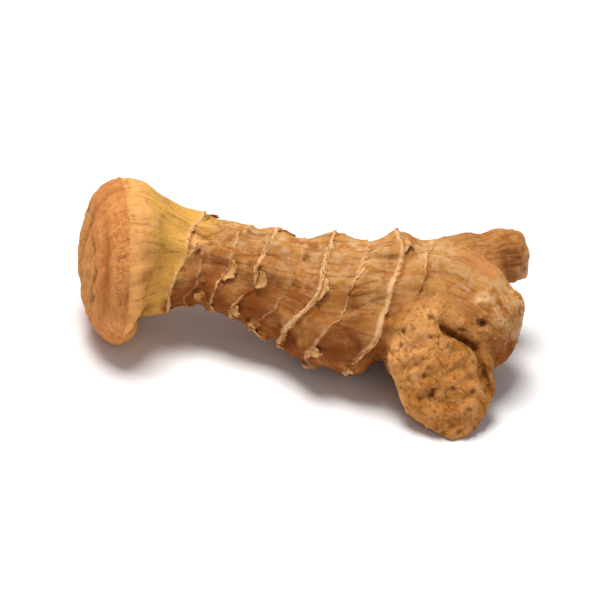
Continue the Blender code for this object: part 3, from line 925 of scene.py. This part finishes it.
# partly painted highlight: the cut's bright rim strip, on top of its own pale rim
masks["rim"] = weights[0] * smoothstep((from_cut + 1.0) / 1.3) * (1 - smoothstep((from_cut - 1.4) / 2.6))
masks["rind"] = weights[0] * bell(from_cut - 0.4, 0.45) * near_angle(trunk_angle, math.radians(-100), 0.7)
# painted light: the higher the relief, the lighter the skin is laid
masks["height"] = np.clip(0.5 + 0.9 * height, 0, 1)
# painted shade: dark ochre laid in and beside the split of the stump, wider than the split
masks["split"] = weights[1] * stump_cleft(points, 1.5) / CLEFT[0]
stump_s, stump_angle, _, stump_past = found[1]
rim_line = bell(stump_s + stump_past - stump.length + 0.4, 0.7)
# partly painted highlight: a bright line on the stump's left rim
masks["stump_rim"] = weights[1] * rim_line * near_angle(stump_angle, 1.3, 2)
# painted light: the stump's broken face is laid lighter towards its high left, where the lamp falls
high_left = smoothstep((shaped[:, 2] - 0.8 * (shaped[:, 0] - 18) - 8) / 8)
masks["stump_top_light"] = weights[1] * masks["broken"] * high_left
masks["shoot"] = 1 - weights[0]
masks["cap"] = sum(weight * smoothstep(0.3 + place[3] / 0.8) for weight, place in zip(weights, found))
for name, values in masks.items():
    values = np.clip(values, 0, 1).astype(np.float32)
    body.data.attributes.new(name, "FLOAT", "POINT").data.foreach_set("value", values)
print("masks:", ", ".join(masks))

# %% Keep the place along and round the limb too, for grain that follows it
nearest_shoot = weights[1:].argmax(axis=0)
shoot_s, shoot_angle = (np.choose(nearest_shoot, [place[k] for place in found[1:]]) for k in (0, 1))
for name, along, round_it in (("stem_place", skin_s, trunk_angle), ("shoot_place", shoot_s, shoot_angle)):
    vectors = (on_cylinder(along, round_it, 1.0, 0.0) * MM).astype(np.float32)
    body.data.attributes.new(name, "FLOAT_VECTOR", "POINT").data.foreach_set("vector", vectors.ravel())

# %% [markdown]
# ## The finish of dried root skin
#
# The skin is dull and fibrous. Its brown varies from tan to a dark red brown, the scars are straw pale, the
# peeled band is olive yellow, the cut is orange and the break is ochre. Light and shade are painted on too:
# the ridges, the top and the rims are lighter, as painted light, and the furrows, pits, split and low front
# are darker, as painted shade. The material starts from two browns mixed by noise, and each mask lays its own
# colour over them.

# %% A short way to write a material
SHINE = 0.08  # the shader's specular level, far under its usual 0.5, because dry skin is dull


class Recipe:
    """A node material, written as calls that each add a node and give its output, in millimetres."""

    def __init__(self, name):
        self.material = bpy.data.materials.new(name)
        self.material.use_nodes = True
        self.nodes, self.links = self.material.node_tree.nodes, self.material.node_tree.links
        self.place = self.node("TexCoord", {}).outputs["Object"]

    def node(self, kind, inputs, **settings):
        """A new node of that kind, with its settings made and its inputs filled."""
        node = self.nodes.new("ShaderNode" + kind)
        for name, value in settings.items():
            setattr(node, name, value)
        self.fill(node, inputs)
        return node

    def fill(self, node, inputs):
        """Links each named input to an output, or sets its value."""
        for name, value in inputs.items():
            if isinstance(value, bpy.types.NodeSocket):
                self.links.new(value, node.inputs[name])
            else:
                node.inputs[name].default_value = value

    def mask(self, name):
        """The mask of that name on the mesh."""
        return self.node("Attribute", {}, attribute_name=name).outputs["Fac"]

    def speckle(self, size, detail=3.0, stretch=(1, 1, 1), roughness=0.55, place=None):
        """Noise from 0 to 1 with features of that size."""
        moved = self.node("Mapping", {"Vector": place or self.place, "Scale": stretch}).outputs["Vector"]
        inputs = {"Vector": moved, "Scale": 1 / (size * MM), "Detail": detail, "Roughness": roughness}
        return self.node("TexNoise", inputs).outputs["Fac"]

    def bent(self, size, amount):
        """The place, moved about by up to that amount, by noise of that size."""
        shake = self.node("TexNoise", {"Vector": self.place, "Scale": 1 / (size * MM)}).outputs["Color"]
        inputs = {0: shake, 1: (amount * MM,) * 3, 2: self.place}
        return self.node("VectorMath", inputs, operation="MULTIPLY_ADD").outputs["Vector"]

    def dots(self, size):
        """Distance from the nearest of many scattered points, about that far apart."""
        inputs = {"Vector": self.bent(0.9, 1.3), "Scale": 1 / (size * MM)}
        return self.node("TexVoronoi", inputs).outputs["Distance"]

    def grain(self, size, detail=3.0, longer=7.0):
        """Noise that runs along the stem, on a shoot along the shoot, and nowhere on a round end."""
        both = []
        for name in ("stem_place", "shoot_place"):
            place = self.node("Attribute", {}, attribute_name=name).outputs["Vector"]
            both.append(self.speckle(size, detail, (1, 1, 1 / longer), place=place))
        along_limb = self.lay(*both, self.mask("shoot"))
        return self.lay(along_limb, self.speckle(1.5 * size, detail), self.mask("cap"))

    def sharpen(self, value, low, high, top=1.0, bottom=0.0):
        """The bottom value below low and the top one above high, smooth between."""
        inputs = {"Value": value, "From Min": low, "From Max": high, "To Min": bottom, "To Max": top}
        return self.node("MapRange", inputs, interpolation_type="SMOOTHSTEP").outputs["Result"]

    def times(self, a, b):
        """a times b."""
        return self.node("Math", {0: a, 1: b}, operation="MULTIPLY").outputs["Value"]

    def within(self, name, value, *limits):
        """The mask of that name, times the value sharpened between its limits."""
        return self.times(self.mask(name), self.sharpen(value, *limits))

    def lay(self, under, over, share):
        """The colour over laid on the colour under, by a share from 0 to 1."""
        inputs = {"Factor": share, "A": under, "B": over}
        return self.node("Mix", inputs, data_type="RGBA").outputs["Result"]

    def layers(self, colour, *layers):
        """The colour with each tint laid over it by its share, one after the other."""
        for tint, share in layers:
            colour = self.lay(colour, tint, share)
        return colour

    def bump(self, height, depth):
        """A bump of that depth."""
        inputs = {"Distance": depth * MM, "Strength": 1.0, "Height": height}
        return self.node("Bump", inputs).outputs["Normal"]

    def done(self, colour, roughness, normal):
        """Puts colour, roughness, bump and a faint shine on the shader."""
        inputs = {"Base Color": colour, "Roughness": roughness, "Normal": normal, "Specular IOR Level": SHINE}
        self.fill(self.nodes["Principled BSDF"], inputs)
        return self.material


# %% Colours of the root
TAN = (0.57, 0.262, 0.070, 1)
BROWN = (0.37, 0.122, 0.020, 1)
RED_BROWN = (0.225, 0.050, 0.008, 1)
FURROW = (0.110, 0.032, 0.007, 1)
RIDGE = (0.68, 0.41, 0.205, 1)
STRAW = (0.84, 0.50, 0.235, 1)
OLIVE = (0.76, 0.41, 0.088, 1)
CUT_ORANGE = (0.64, 0.245, 0.070, 1)
CUT_LIGHT = (0.78, 0.34, 0.108, 1)
CUT_CORE = (0.70, 0.33, 0.100, 1)
CUT_STREAK = (0.40, 0.115, 0.026, 1)
CUT_RIM = (0.96, 0.46, 0.142, 1)
OCHRE = (0.52, 0.205, 0.040, 1)
OCHRE_LIGHT = (0.86, 0.43, 0.155, 1)
OCHRE_DARK = (0.25, 0.085, 0.012, 1)
ORANGE = (0.56, 0.215, 0.066, 1)
PINK = (0.78, 0.46, 0.275, 1)
# HOLE is painted shade for the sunken middles of the root scars
HOLE = (0.060, 0.022, 0.008, 1)


def skin_colour(r):
    """Two browns, then a top painted lighter as light and red flanks partly painted as shade, the olive band,
    the cut's rim, streaks and the rind.
    """
    return r.layers(
        BROWN,
        (TAN, r.sharpen(r.speckle(5.0), 0.38, 0.66)),
        (RED_BROWN, r.sharpen(r.speckle(2.4, 4.0), 0.50, 0.72, 0.65)),
        # painted light: tan and ridge colour on the top, where the lamp falls
        (TAN, r.within("worn", r.speckle(2.6), 0.25, 0.55)),
        (RIDGE, r.within("worn", r.speckle(1.3, 4.0), 0.40, 0.66, 0.85)),
        # partly painted shade low on the front, partly the skin's own red
        (RED_BROWN, r.within("red", r.speckle(3.4), 0.25, 0.6, 0.85)),
        (ORANGE, r.sharpen(r.mask("orange"), 0.1, 0.9, 0.8)),
        (OLIVE, r.within("band", r.speckle(3.0), 0.2, 0.5, 0.95)),
        # partly painted highlight on the cut's rim
        (CUT_RIM, r.within("rim", r.speckle(1.8, 4.0), 0.25, 0.6, 0.95, 0.5)),
        (RED_BROWN, r.sharpen(r.grain(0.42, 3.0, 9.0), 0.50, 0.68, 0.5)),
        (RIDGE, r.sharpen(r.grain(0.36, 3.0, 11.0), 0.56, 0.74, 0.30)),
        (BROWN, r.within("rind", r.speckle(0.6, 4.0), 0.35, 0.6, 0.9)),
    )


def cut_colour(r, threads):
    """Orange with a lighter core and upright streaks, and threads with a dark edge and some pale ends."""
    pale_ends = r.times(r.sharpen(threads, 0.24, 0.10, 0.75), r.sharpen(r.speckle(1.6), 0.40, 0.62))
    return r.layers(
        CUT_ORANGE,
        (CUT_LIGHT, r.sharpen(r.speckle(1.4, 4.0, (1, 1, 0.3)), 0.35, 0.7, 0.8)),
        (CUT_CORE, r.within("core", r.speckle(2.0, 4.0), 0.25, 0.6, 0.8)),
        (CUT_STREAK, r.sharpen(r.speckle(0.40, 3.0, (1, 1, 0.18)), 0.50, 0.66, 0.45)),
        (CUT_STREAK, r.sharpen(threads, 0.44, 0.26, 0.35)),
        (STRAW, pale_ends),
        # painted shade in the crease and the dent
        (CUT_STREAK, r.times(r.mask("crease_and_dent_shade"), 0.85)),
    )


def break_colour(r):
    """Ochre with light and dark flecks, and painted light that makes the top of the stump lighter."""
    return r.layers(
        OCHRE,
        (OCHRE_LIGHT, r.sharpen(r.speckle(1.8, 4.0), 0.42, 0.72, 0.55)),
        # painted light on the top of the stump
        (OCHRE_LIGHT, r.times(r.mask("stump_top_light"), 0.7)),
        (OCHRE_LIGHT, r.sharpen(r.speckle(0.55, 3.0), 0.56, 0.68, 0.5)),
        (OCHRE_DARK, r.sharpen(r.speckle(0.75, 4.0), 0.54, 0.66, 0.6)),
    )


def root_skin():
    """Skin, scars, band, cut and break in one material, told apart by the masks."""
    r = Recipe("dried_root_skin")
    threads = r.dots(0.75)
    uneven_pink, uneven_straw = r.speckle(1.2, 5.0), r.speckle(0.6, 4.0)
    # partly painted light: the pink ends are paler than their own colour
    pink = r.times(r.sharpen(r.mask("pink"), 0.1, 0.9), r.sharpen(uneven_pink, 0.35, 0.62, 0.75, 0.3))
    straw = r.times(r.sharpen(r.mask("pale"), 0.2, 0.8), r.sharpen(uneven_straw, 0.3, 0.55, 0.95, 0.45))
    colour = r.layers(
        skin_colour(r),
        (cut_colour(r, threads), r.mask("cut")),
        (break_colour(r), r.times(r.mask("broken"), 0.92)),
        # partly painted shade at the stump's low foot
        (RED_BROWN, r.times(r.times(r.mask("red"), r.mask("broken")), 0.5)),
        (PINK, pink),
        # painted shade in and beside the split
        (OCHRE_DARK, r.times(r.mask("split"), 0.7)),
        # partly painted highlight on the stump's left rim
        (CUT_RIM, r.times(r.mask("stump_rim"), 0.85)),
        # painted light on the raised relief
        (RIDGE, r.sharpen(r.mask("height"), 0.60, 0.95, 0.45)),
        # painted shade in the furrows, grooves, pits and cracks
        (FURROW, r.sharpen(r.mask("furrow"), 0.15, 1.0, 0.62)),
        (STRAW, straw),
        # painted shade in the sunken middles of the root scars
        (HOLE, r.sharpen(r.mask("dark"), 0.45, 1.0, 0.85)),
        (FURROW, r.sharpen(r.speckle(0.7, 2.0), 0.64, 0.74, 0.35)),
    )
    face = r.lay(r.speckle(0.34, 4.0, (1, 1, 0.2)), r.sharpen(threads, 0.4, 0.1), 0.22)
    fine = r.lay(r.grain(0.30, 4.0, 9.0), face, r.mask("cut"))
    fine = r.lay(fine, r.speckle(0.42, 5.0, roughness=0.65), r.mask("broken"))
    return r.done(colour, r.sharpen(r.speckle(1.5), 0.2, 0.8, 0.95, 0.66), r.bump(fine, 0.16))


body.data.materials.clear()
body.data.materials.append(root_skin())
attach(body, "root")
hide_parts(NODE)
print("the skin has", sum(len(face.vertices) - 2 for face in body.data.polygons), "triangles")

# %% [markdown]
# ## Frayed edges of the scale leaves
#
# On each bold scar a papery fringe is left of the leaf. It is too thin for the remeshed skin, so it is its
# own piece: a thin leaf-shaped profile carried round the ring, whose reach and lift change with the turn.
# The profile is a closed loop, so the fringe has a top, an underside and a torn edge, and no open border.

# %% Fringes round the scars
FRINGE_PROFILE = np.array(
    ((0.0, -0.30), (0.3, 0.02), (0.65, 0.10), (1.0, 0.12), (1.04, 0.05), (0.6, 0.0), (0.2, -0.16))
)  # share of the reach along the root, and lift in millimetres
PROFILE_ALONG, PROFILE_LIFT = FRINGE_PROFILE.T[:, None]
PROFILE_TIP = PROFILE_ALONG[0].clip(0, 1)
FRINGE_TURNS = 640
FRINGE_BOLD = 0.25  # only rings higher than this have a fringe


def above_skin(s, angle, lift):
    """The place that far above the trunk's skin, in the frame of the solid."""
    skin = trunk_skin(s, angle)
    return skin + lift[..., None] * trunk.outward(s, skin) - np.array(CENTRE)


def loop_faces(rows, columns):
    """Quads of a grid that closes on itself both ways."""
    i, j = np.meshgrid(np.arange(rows), np.arange(columns), indexing="ij")
    after, beside = (i + 1) % rows, (j + 1) % columns
    corners = (i * columns + j, i * columns + beside, after * columns + beside, after * columns + j)
    return np.stack(corners, axis=-1).reshape(-1, 4).tolist()


def outside_out(points, faces):
    """The faces, turned over if the volume they enclose comes out negative."""
    corners = np.array([[face[0], face[k], face[k + 1]] for face in faces for k in range(1, len(face) - 1)])
    a, b, c = (points[corners[:, k]] for k in range(3))
    volume = dot(a, np.cross(b, c)).sum()
    return (points, faces) if volume > 0 else (points, [face[::-1] for face in faces])


def closed_tube(rings, floor=0.05):
    """A tube of rings closed at both ends, with nothing lower than the floor, in millimetres."""
    rings[..., 2] = np.maximum(rings[..., 2], floor)
    return outside_out(*closed_skin(rings, rings[0].mean(axis=0), rings[-1].mean(axis=0)))


def circle(across, over, sides):
    """cos(turn) * across + sin(turn) * over, for that many turns."""
    turn = turns(sides)[:, None]
    return np.cos(turn) * across[..., None, :] + np.sin(turn) * over[..., None, :]


def tip_mask(rise, sides, copies):
    """The tip mask of copies of a tube: 0 at its foot, one number for each ring, and 1 at its tip."""
    return np.tile(np.concatenate([[0], np.repeat(rise, sides), [1]]), copies)


def fringe(number, at, size):
    """The profile round one ring: place = ring + share * reach(turn), lift = profile * size(turn)."""
    angle = turns(FRINGE_TURNS)[:, None]
    shift = RING_SHIFT * number
    slow, tear, tooth = (round_noise(angle, width, shift, SEED + 36) for width in (3.0, 1.1, 0.33))
    reach = (0.3 + 0.5 * size) * np.clip(0.3 + 1.2 * slow + 0.7 * tear + 0.3 * tooth, 0.03, 1.15)
    s = at + ring_line(angle, number, SEED + 30) - 0.1 + PROFILE_ALONG * reach / skin_stretch(at, angle)
    up = size * 0.34 + PROFILE_LIFT * (0.7 + 1.1 * np.clip(tear + slow, -0.4, 0.8)) * (0.4 + size)
    place = above_skin(s, angle, up)
    place[..., 2] = np.maximum(place[..., 2], 0.03)
    return outside_out(place.reshape(-1, 3), loop_faces(FRINGE_TURNS, len(FRINGE_PROFILE)))


def finish_piece(obj, material, tips):
    """Smooth shading, material, the tip mask, and a place in the frame."""
    obj.data.materials.append(material)
    obj.data.shade_smooth()
    tips = np.asarray(tips, np.float32)
    obj.data.attributes.new("tip", "FLOAT", "POINT").data.foreach_set("value", tips)
    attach(obj, "root")


def in_metres(parts):
    """Several lots of points in millimetres, as one in metres."""
    some, faces = together(parts)
    return some * MM, faces


fringes = [fringe(number, *scar) for number, scar in enumerate(trunk.scars) if scar[1] > FRINGE_BOLD]
fringe_piece = add_piece("scar_fringes", *in_metres(fringes))
fringe_tips = np.tile(PROFILE_TIP, FRINGE_TURNS * len(fringes))
print(len(fringes), "fringes with", len(fringe_piece.data.polygons), "faces")

# %% The finish of papery scale and dried bark
def papery():
    """Straw at the torn edge and tan at the foot, with brown patches and fine fibres along the root."""
    r = Recipe("papery_scale")
    patches = r.sharpen(r.speckle(1.1, 5.0, (0.5, 1, 1)), 0.42, 0.62, 0.8)
    colour = r.layers(TAN, (STRAW, r.sharpen(r.mask("tip"), 0.0, 1.0, 0.75)), (BROWN, patches))
    return r.done(colour, 0.8, r.bump(r.speckle(0.3, 3.0, (0.3, 1, 1)), 0.05))


def bark():
    """Brown bark at the foot and a paler torn core at the tip."""
    r = Recipe("root_bark")
    colour = r.layers(
        BROWN,
        (TAN, r.sharpen(r.speckle(0.8), 0.35, 0.7)),
        (STRAW, r.sharpen(r.mask("tip"), 0.55, 1.0, 0.75)),
        (FURROW, r.sharpen(r.speckle(0.45, 3.0), 0.55, 0.75, 0.6)),
    )
    return r.done(colour, 0.85, r.bump(r.speckle(0.3, 3.0), 0.07))


paper_scale, root_bark = papery(), bark()
finish_piece(fringe_piece, paper_scale, fringe_tips)

# %% [markdown]
# ## Rags and root stubs
#
# Here and there a larger rag of a scale leaf still stands on its ring, and under the stem the thin roots
# have broken off as short stubs. The plain solid has both, drawn from one row of seeded random numbers. The
# same draws in the same order put the fine ones in the same places.

# %% The places, drawn as for the solid
PLAN_SIDES, PLAN_STEP, SCAR_ROOM = 36, 1.7, 0.8
SCAR_RINGS = (-0.55, -0.2, 0.1, 0.5)
ROOT_STUBS = 30
STUB_RADIUS, STUB_LENGTH, STUB_LEAN, STUB_SIDE = (0.7, 1.15), (0.35, 1.1), 0.35, (185, 42)
STUB_CLEARANCE = 0.6
RAGS_PER_SCAR, RAG_WIDTH, RAG_LENGTH = 3, (2.0, 3.6), (1.0, 1.9)


def plan_rows():
    """Lengths of the solid's rings: one each step, and a few round each scar."""
    s = np.linspace(0, trunk.length, max(3, round(trunk.length / PLAN_STEP) + 1))
    for at, _ in trunk.scars:
        s = s[abs(s - at) > SCAR_ROOM]
    return np.sort(np.concatenate([s, [at + off for at, _ in trunk.scars for off in SCAR_RINGS]]))


def growth_places():
    """Each stub's length, turn, lean, radius and height, and each rag's length, turn, width and length."""
    rng, rows = np.random.default_rng(SEED), plan_rows()
    scar_rows = [int(np.argmin(abs(rows - at))) for at, _ in trunk.scars]
    turn = 2 * np.pi / PLAN_SIDES
    stubs, rags = [], []
    for _ in range(ROOT_STUBS):
        row = int(rng.choice(scar_rows[1:])) + int(rng.integers(-1, 3))
        column = int(round(np.radians(rng.normal(*STUB_SIDE)) / turn)) % PLAN_SIDES
        lean = rng.uniform(-STUB_LEAN, STUB_LEAN, 3)
        stubs.append((rows[row], column * turn, lean, rng.uniform(*STUB_RADIUS), rng.uniform(*STUB_LENGTH)))
    for row in scar_rows[:-1]:
        for column in rng.integers(0, PLAN_SIDES, RAGS_PER_SCAR):
            rags.append((rows[row + 1], column * turn, rng.uniform(*RAG_WIDTH), rng.uniform(*RAG_LENGTH)))
            rng.uniform(size=4)  # the solid's rags draw a width for each corner of their tip
    return stubs, rags


stub_places, rag_places = growth_places()
print(len(stub_places), "root stubs and", len(rag_places), "rags are planned")

# %% Rags
RAG_COLUMNS = 15


def rag(number, s, turn, width, length):
    """A blade across the ring: a closed profile at each column, as long as the torn edge says."""
    across = np.linspace(-1, 1, RAG_COLUMNS)[:, None]
    edge = np.stack([across * width, 0 * across, 0 * across + 5.3 * number], axis=-1)
    reach = length * (0.75 + 0.45 * noise(edge, 0.9, SEED + 33)) * (1 - 0.75 * across**2)
    curl = 0.35 * PROFILE_ALONG**2 * (1 - 0.5 * across**2)
    along, angle = s - 0.5 + PROFILE_ALONG * (reach + 0.4), turn + across * width / 2 / CYLINDER
    return closed_tube(above_skin(along, angle, 0.18 + PROFILE_LIFT + curl))


rags = [rag(number, *place) for number, place in enumerate(rag_places)]
rag_piece = add_piece("scale_rags", *in_metres(rags))
one_rag = np.concatenate([[0.5], np.tile(PROFILE_TIP, RAG_COLUMNS), [0.5]])
finish_piece(rag_piece, paper_scale, np.tile(one_rag, len(rags)))
print(len(rags), "rags with", len(rag_piece.data.polygons), "faces")

# %% Root stubs
STUB_SIDES = 14
STUB_PROFILE = np.array(
    (
        (1.5, -0.9),
        (1.35, -0.25),
        (1.05, 0.1),
        (0.88, 0.4),
        (0.82, 0.75),
        (0.80, 1.0),
        (0.62, 1.04),
        (0.5, 0.9),
        (0.25, 0.8),
    )
)  # radius and height, as shares of the stub's own; the last two make the torn hollow of its tip
STUB_TIPS = (0, 0.1, 0.2, 0.3, 0.5, 0.7, 1, 1, 1)  # the tip mask at each of them
JAG_FROM = 0.7  # the rings past this share of the height are jagged


def stub(number, s, turn, lean, radius, length):
    """The profile turned round the stub's line, with an uneven radius and a jagged tip."""
    foot = trunk_skin(s, turn)
    outward = unit(trunk.outward(s, foot) + lean)
    if foot[2] + outward[2] * length - radius < STUB_CLEARANCE:
        return None
    across = unit(np.cross(outward, (1.0, 0.2, 0.1)))
    ring = circle(across, np.cross(outward, across), STUB_SIDES)
    uneven = 1 + 0.22 * noise(3 * ring + 4.1 * number, 1.5, SEED + 34)
    wide, high = 0.8 * radius * STUB_PROFILE[:, :1], np.maximum(length, 0.6) * STUB_PROFILE[:, 1:]
    jag = 0.25 * noise(5 * ring + 2.7 * number, 1.1, SEED + 35) * (STUB_PROFILE[:, 1:] > JAG_FROM)
    place = foot + (wide * uneven)[..., None] * ring + (high + jag)[..., None] * outward
    return closed_tube(place - np.array(CENTRE))


stubs = [stub(number, *place) for number, place in enumerate(stub_places)]
stubs = [some for some in stubs if some is not None]
stub_piece = add_piece("root_stubs", *in_metres(stubs))
finish_piece(stub_piece, root_bark, tip_mask(STUB_TIPS, STUB_SIDES, len(stubs)))
print(len(stubs), "stubs with", len(stub_piece.data.polygons), "faces")

# %% [markdown]
# ## Rootlets
#
# A few of the thin roots dried where they grew, and hang on as curled threads a few millimetres long. Each
# is a round section carried along a short curve through four or five stations.

# %% Rootlets
ROOTLETS = (
    (
        (4.8, -0.6, 4.2, 0.50),
        (4.2, -2.6, 2.9, 0.44),
        (2.9, -4.0, 2.1, 0.38),
        (1.6, -3.9, 1.7, 0.32),
        (1.1, -3.0, 1.6, 0.20),
    ),
    ((9.5, 4.0, 2.6, 0.48), (9.2, 6.0, 1.6, 0.42), (8.2, 7.6, 1.0, 0.34), (6.8, 8.4, 0.8, 0.20)),
)  # x, y, z and radius at each station
ROOTLET_SIDES, ROOTLET_ROWS = 10, 40


def rootlet(stations):
    """A tube: centre(t) + radius(t) * (cos * across + sin * over), with a slightly knotted radius."""
    line = through(stations, np.linspace(0, len(stations) - 1, ROOTLET_ROWS))
    along = unit(np.gradient(line[:, :3], axis=0))
    across = unit(np.cross(along, (0.1, 0.2, 1.0)))
    ring = circle(across, np.cross(along, across), ROOTLET_SIDES)
    knot = 1 + 0.25 * noise(line[:, None, :3] + 0.6 * ring, 0.7, SEED + 36)
    place = line[:, None, :3] + (line[:, None, 3] * knot)[..., None] * ring
    return closed_tube(place - np.array(CENTRE))


rootlet_piece = add_piece("rootlets", *in_metres([rootlet(stations) for stations in ROOTLETS]))
rootlet_tips = tip_mask(np.linspace(0.4, 1.0, ROOTLET_ROWS), ROOTLET_SIDES, len(ROOTLETS))
finish_piece(rootlet_piece, root_bark, rootlet_tips)
print(len(ROOTLETS), "rootlets")

# %% [markdown]
# ## Torn fibres
#
# Tough threads run through the whole root. Where it broke they stand out of the face as short bristles, and
# some stick out of the ring scars. There are a few hundred, so each is a tiny three-sided needle.

# %% Fibres
FIBRE_SIDES, FIBRE_ROWS = 3, 4
FIBRE_LENGTH, FIBRE_RADIUS = (0.25, 0.6), (0.05, 0.085)
FIBRE_ROOT, FIBRE_TIP = -0.25, 0.35  # how deep a fibre starts, and its radius at the tip, as shares


def fibres(mask, count, lean, seed):
    """Bent needles on points drawn by the mask: foot + t * way + t^2 * bend, thinner towards the tip."""
    rng = np.random.default_rng(seed)
    chosen = rng.choice(len(shaped), count, p=mask / mask.sum(), replace=False)
    foot, outward = shaped[chosen], normals[chosen]
    way = unit(outward + lean * rng.normal(size=(count, 3))) * rng.uniform(*FIBRE_LENGTH, (count, 1))
    bend = 0.35 * rng.normal(size=(count, 3)) * FIBRE_LENGTH[0]
    t = np.linspace(FIBRE_ROOT, 1, FIBRE_ROWS)[None, :, None]
    line = foot[:, None] + t * way[:, None] + np.maximum(t, 0) ** 2 * bend[:, None]
    across = unit(np.cross(way, rng.normal(size=(count, 3))))
    ring = circle(across, unit(np.cross(way, across)), FIBRE_SIDES)
    thin = np.linspace(1, FIBRE_TIP, FIBRE_ROWS)[None, :, None, None]
    radius = rng.uniform(*FIBRE_RADIUS, (count, 1, 1, 1)) * thin
    place = line[:, :, None] + radius * ring[:, None]
    return [closed_tube(some, 0.02) for some in place]


bristles = fibres(masks["broken"] * (masks["split"] < 0.3) + 1e-9, 170, 0.5, SEED + 51)
bristles += fibres(np.clip(pale - 0.4, 0, 1) + 1e-9, 90, 0.7, SEED + 52)
bristle_piece = add_piece("torn_fibres", *in_metres(bristles))
bristle_tips = tip_mask(np.linspace(0.3, 1, FIBRE_ROWS), FIBRE_SIDES, len(bristles))
finish_piece(bristle_piece, paper_scale, bristle_tips)
print(len(bristles), "fibres with", len(bristle_piece.data.polygons), "faces")

# %% [markdown]
# ## Floor, light and camera
#
# The root lies on a plain pale floor. A large soft lamp overhead, a weaker one on the right and a
# pale sky give a soft shadow. The camera looks down at 35 degrees from the front, turned by 4 degrees, from
# far off, so that the near side isn't drawn larger.

# %% Floor
FLOOR_HALF = 1.2
FLOOR_CORNERS = ((-1, -1), (1, -1), (1, 1), (-1, 1))
floor_points = [(x * FLOOR_HALF, y * FLOOR_HALF, 0) for x, y in FLOOR_CORNERS]
floor = add_piece("floor", floor_points, [(0, 1, 2, 3)])
paper = Recipe("pale_paper")
white = paper.lay((0.93, 0.93, 0.94, 1), (0.90, 0.90, 0.92, 1), paper.speckle(30.0))
floor.data.materials.append(paper.done(white, 0.9, paper.bump(paper.speckle(2.0), 0.02)))

# %% Light
def lamp(name, place, size, power, colour=(1, 1, 1)):
    """A square soft lamp that looks at the root."""
    data = bpy.data.lights.new(name, "AREA")
    data.size, data.energy, data.color = size, power, colour
    obj = bpy.data.objects.new(name, data)
    obj.location = place
    obj.rotation_euler = (Vector((0, 0, 0.01)) - Vector(place)).to_track_quat("-Z", "Y").to_euler()
    bpy.context.scene.collection.objects.link(obj)


lamp("key", (-0.08, 0.04, 0.65), 0.26, 4.6, (1.0, 0.98, 0.95))
lamp("fill", (0.20, -0.55, 0.35), 0.40, 0.35, (0.98, 0.98, 1.0))
world = bpy.data.worlds.new("pale sky")
world.use_nodes = True
world.node_tree.nodes["Background"].inputs["Color"].default_value = (0.95, 0.97, 1.0, 1)
world.node_tree.nodes["Background"].inputs["Strength"].default_value = 0.26
bpy.context.scene.world = world
bpy.context.scene.view_settings.view_transform = "Standard"

# %% Camera
ELEVATION, ROLL = math.radians(35), math.radians(4)
LENS, SENSOR = 150.0, 36.0
ACROSS = 0.078  # how much of the scene the picture is wide, at the root
AIM = Vector((0.0, 0.0, 0.0095))
camera = bpy.data.objects.new("camera", bpy.data.cameras.new("camera"))
camera.data.lens, camera.data.sensor_width = LENS, SENSOR
back = Vector((0, -math.cos(ELEVATION), math.sin(ELEVATION)))
camera.location = AIM + back * (ACROSS * LENS / SENSOR)
camera.rotation_mode = "QUATERNION"
camera.rotation_quaternion = (-back).to_track_quat("-Z", "Y") @ Matrix.Rotation(ROLL, 3, "Z").to_quaternion()
camera.data.clip_start = 0.01
bpy.context.scene.collection.objects.link(camera)
bpy.context.scene.camera = camera
print("the camera is", round((camera.location - AIM).length, 3), "m away")
